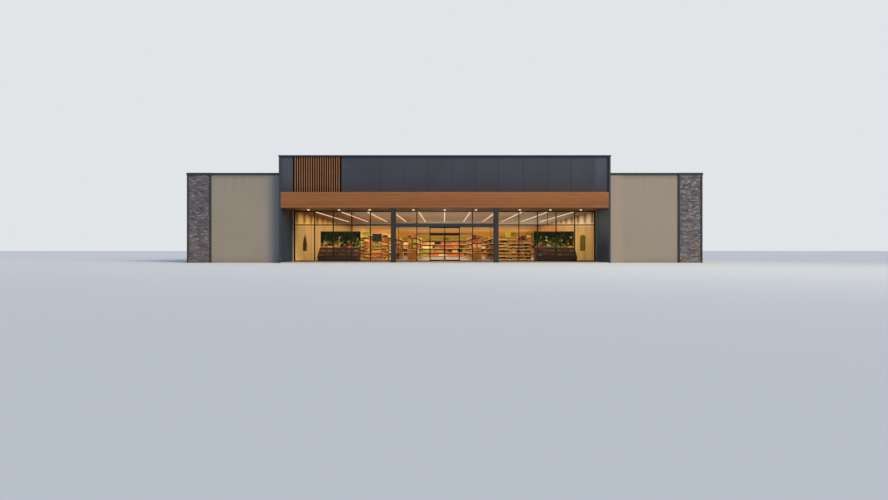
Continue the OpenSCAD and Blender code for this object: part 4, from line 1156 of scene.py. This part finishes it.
def produce_crates():
    """Crates of fruit on the steps of both produce stands."""
    rng = random.Random(31)
    low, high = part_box("produce_stands")
    crates = Shape()
    fruits = Shape()
    for side, inner in ((-1, -low.x - STAND_W), (1, high.x - STAND_W)):
        for step in range(3):
            z = low.z + (step + 1) * STAND_STEP_H
            y0 = low.y + step * STAND_STEP_D + TRAY_SET
            y = (y0, y0 + STAND_STEP_D - TRAY_GAP)
            for place in range(6):
                x0 = side * (inner + 0.02 + place * TRAY_PITCH)
                if side < 0:
                    x0 -= TRAY_W
                tray(crates, (x0, x0 + TRAY_W), y, (z, z + TRAY_H))
                fruit_heap(fruits, rng, x0 + 0.06, y0 + 0.06, z + TRAY_H - 0.03)
    crates.piece("produce_crates", "stand_timber")
    fruits.piece("produce_fruit", "fruit")


def tray(crates, x, y, z):
    """Four sides of a low crate."""
    wall = 0.015
    inner_y = (y[0] + wall, y[1] - wall)
    crates.block(x, (y[0], inner_y[0]), z, 0.4)
    crates.block(x, (inner_y[1], y[1]), z, 0.4)
    crates.block((x[0], x[0] + wall), inner_y, z)
    crates.block((x[1] - wall, x[1]), inner_y, z)


def fruit_heap(fruits, rng, x0, y0, z0):
    """Rows of one kind of fruit, heaped towards the middle and the rear."""
    tone = rng.random()
    pitch_x = 0.077
    pitch_y = 0.085
    stray = 0.01
    for i in range(7):
        for j in range(4):
            heap = 0.035 * j + 0.02 * (3 - abs(i - 3))
            centre = (
                x0 + i * pitch_x + rng.uniform(-stray, stray),
                y0 + j * pitch_y + rng.uniform(-stray, stray),
                z0 + heap + rng.uniform(-stray, 2 * stray),
            )
            ball(fruits, centre, 0.05, tone)


def lamp(name, kind, place, energy, colour, turn=(0, 0, 0), hidden=False, **settings):
    """A lamp, which may be hidden from the camera, from gloss and from glass."""
    data = bpy.data.lights.new(name, kind)
    data.energy = energy
    data.color = colour
    for key, value in settings.items():
        setattr(data, key, value)
    made = placed(name, data)
    made.location = place
    made.rotation_euler = turn
    made.visible_camera = made.visible_glossy = made.visible_transmission = not hidden


def lights():
    """Low sun from the right, the light of the hall, and a wide soft lamp on the front."""
    lamp(
        "sun", "SUN", SUN_PLACE, SUN_STRENGTH, SUN_COLOUR,
        (math.pi / 2 - math.radians(SUN_RISE), 0.0, math.radians(SUN_TURN)),
        angle=math.radians(SUN_SOFTNESS),
    )
    mid_y = (ceiling_low.y + ceiling_high.y) / 2
    lamp(
        "hall light", "AREA", (0.0, mid_y, ceiling_low.z - HALL_LAMP_DROP), HALL_LAMP_POWER,
        HALL_LAMP_COLOUR, hidden=True, shape="RECTANGLE",
        size=HALL_LAMP_SIZE[0], size_y=HALL_LAMP_SIZE[1],
    )
    aim = Vector((0.0, beam_low.y, SIDE_LAMP_AIM_Z)) - Vector(SIDE_LAMP_PLACE)
    lamp(
        "side light", "SPOT", SIDE_LAMP_PLACE, SIDE_LAMP_POWER, SUN_COLOUR,
        aim.to_track_quat("-Z", "Y").to_euler(), hidden=True, spot_size=math.radians(SIDE_LAMP_CONE),
        spot_blend=SIDE_LAMP_EDGE, shadow_soft_size=SIDE_LAMP_RADIUS,
    )


def world():
    """Dim sky for the light, and a plain backdrop for the camera, gloss and glass."""
    made = bpy.data.worlds.new("studio")
    bpy.context.scene.world = made
    made.use_nodes = True
    made.node_tree.nodes.clear()
    g = Graph(made.node_tree)
    rays = g.add("LightPath").outputs
    seen = rays["Is Camera Ray"]
    for kind in ("Is Glossy Ray", "Is Transmission Ray"):
        seen = g.maths("MAXIMUM", seen, rays[kind])
    light = g.add("Background", {"Color": (*SKY_COLOUR, 1.0), "Strength": SKY_LIGHT})
    shown = g.add("Background", {"Color": linear(BACKDROP)})
    mix = g.add("MixShader", {"Fac": seen, 1: light.outputs[0], 2: shown.outputs[0]})
    g.add("OutputWorld", {"Surface": mix.outputs[0]})


def studio():
    """Plain floor that reaches the horizon."""
    reach = 500.0
    mesh = bpy.data.meshes.new("studio_floor")
    corners = [(-reach, -reach, 0), (reach, -reach, 0), (reach, reach, 0), (-reach, reach, 0)]
    mesh.from_pydata(corners, [], [(0, 1, 2, 3)])
    mesh.materials.append(studio_floor())
    floor = placed("studio_floor", mesh)


def camera():
    """Level camera on the centre line, as in the photo."""
    data = bpy.data.cameras.new("photo camera")
    data.lens = CAMERA_LENS
    data.sensor_width = SENSOR_WIDTH
    data.clip_end = CAMERA_REACH
    made = placed("photo camera", data)
    made.location = CAMERA_PLACE
    made.rotation_euler = (math.pi / 2, 0.0, 0.0)
    bpy.context.scene.camera = made


camera()
world()
studio()
lights()
ledge_stones("stone_pier_left", 1, 0.12)
ledge_stones("stone_pier_right", 2, 0.36)
canopy_cladding()
soffit_boards()
jamb_trims()
slim_bars()
roof_seams()
shelf_goods()
end_stacks()
produce_crates()
bpy.context.scene.view_settings.view_transform = "Standard"
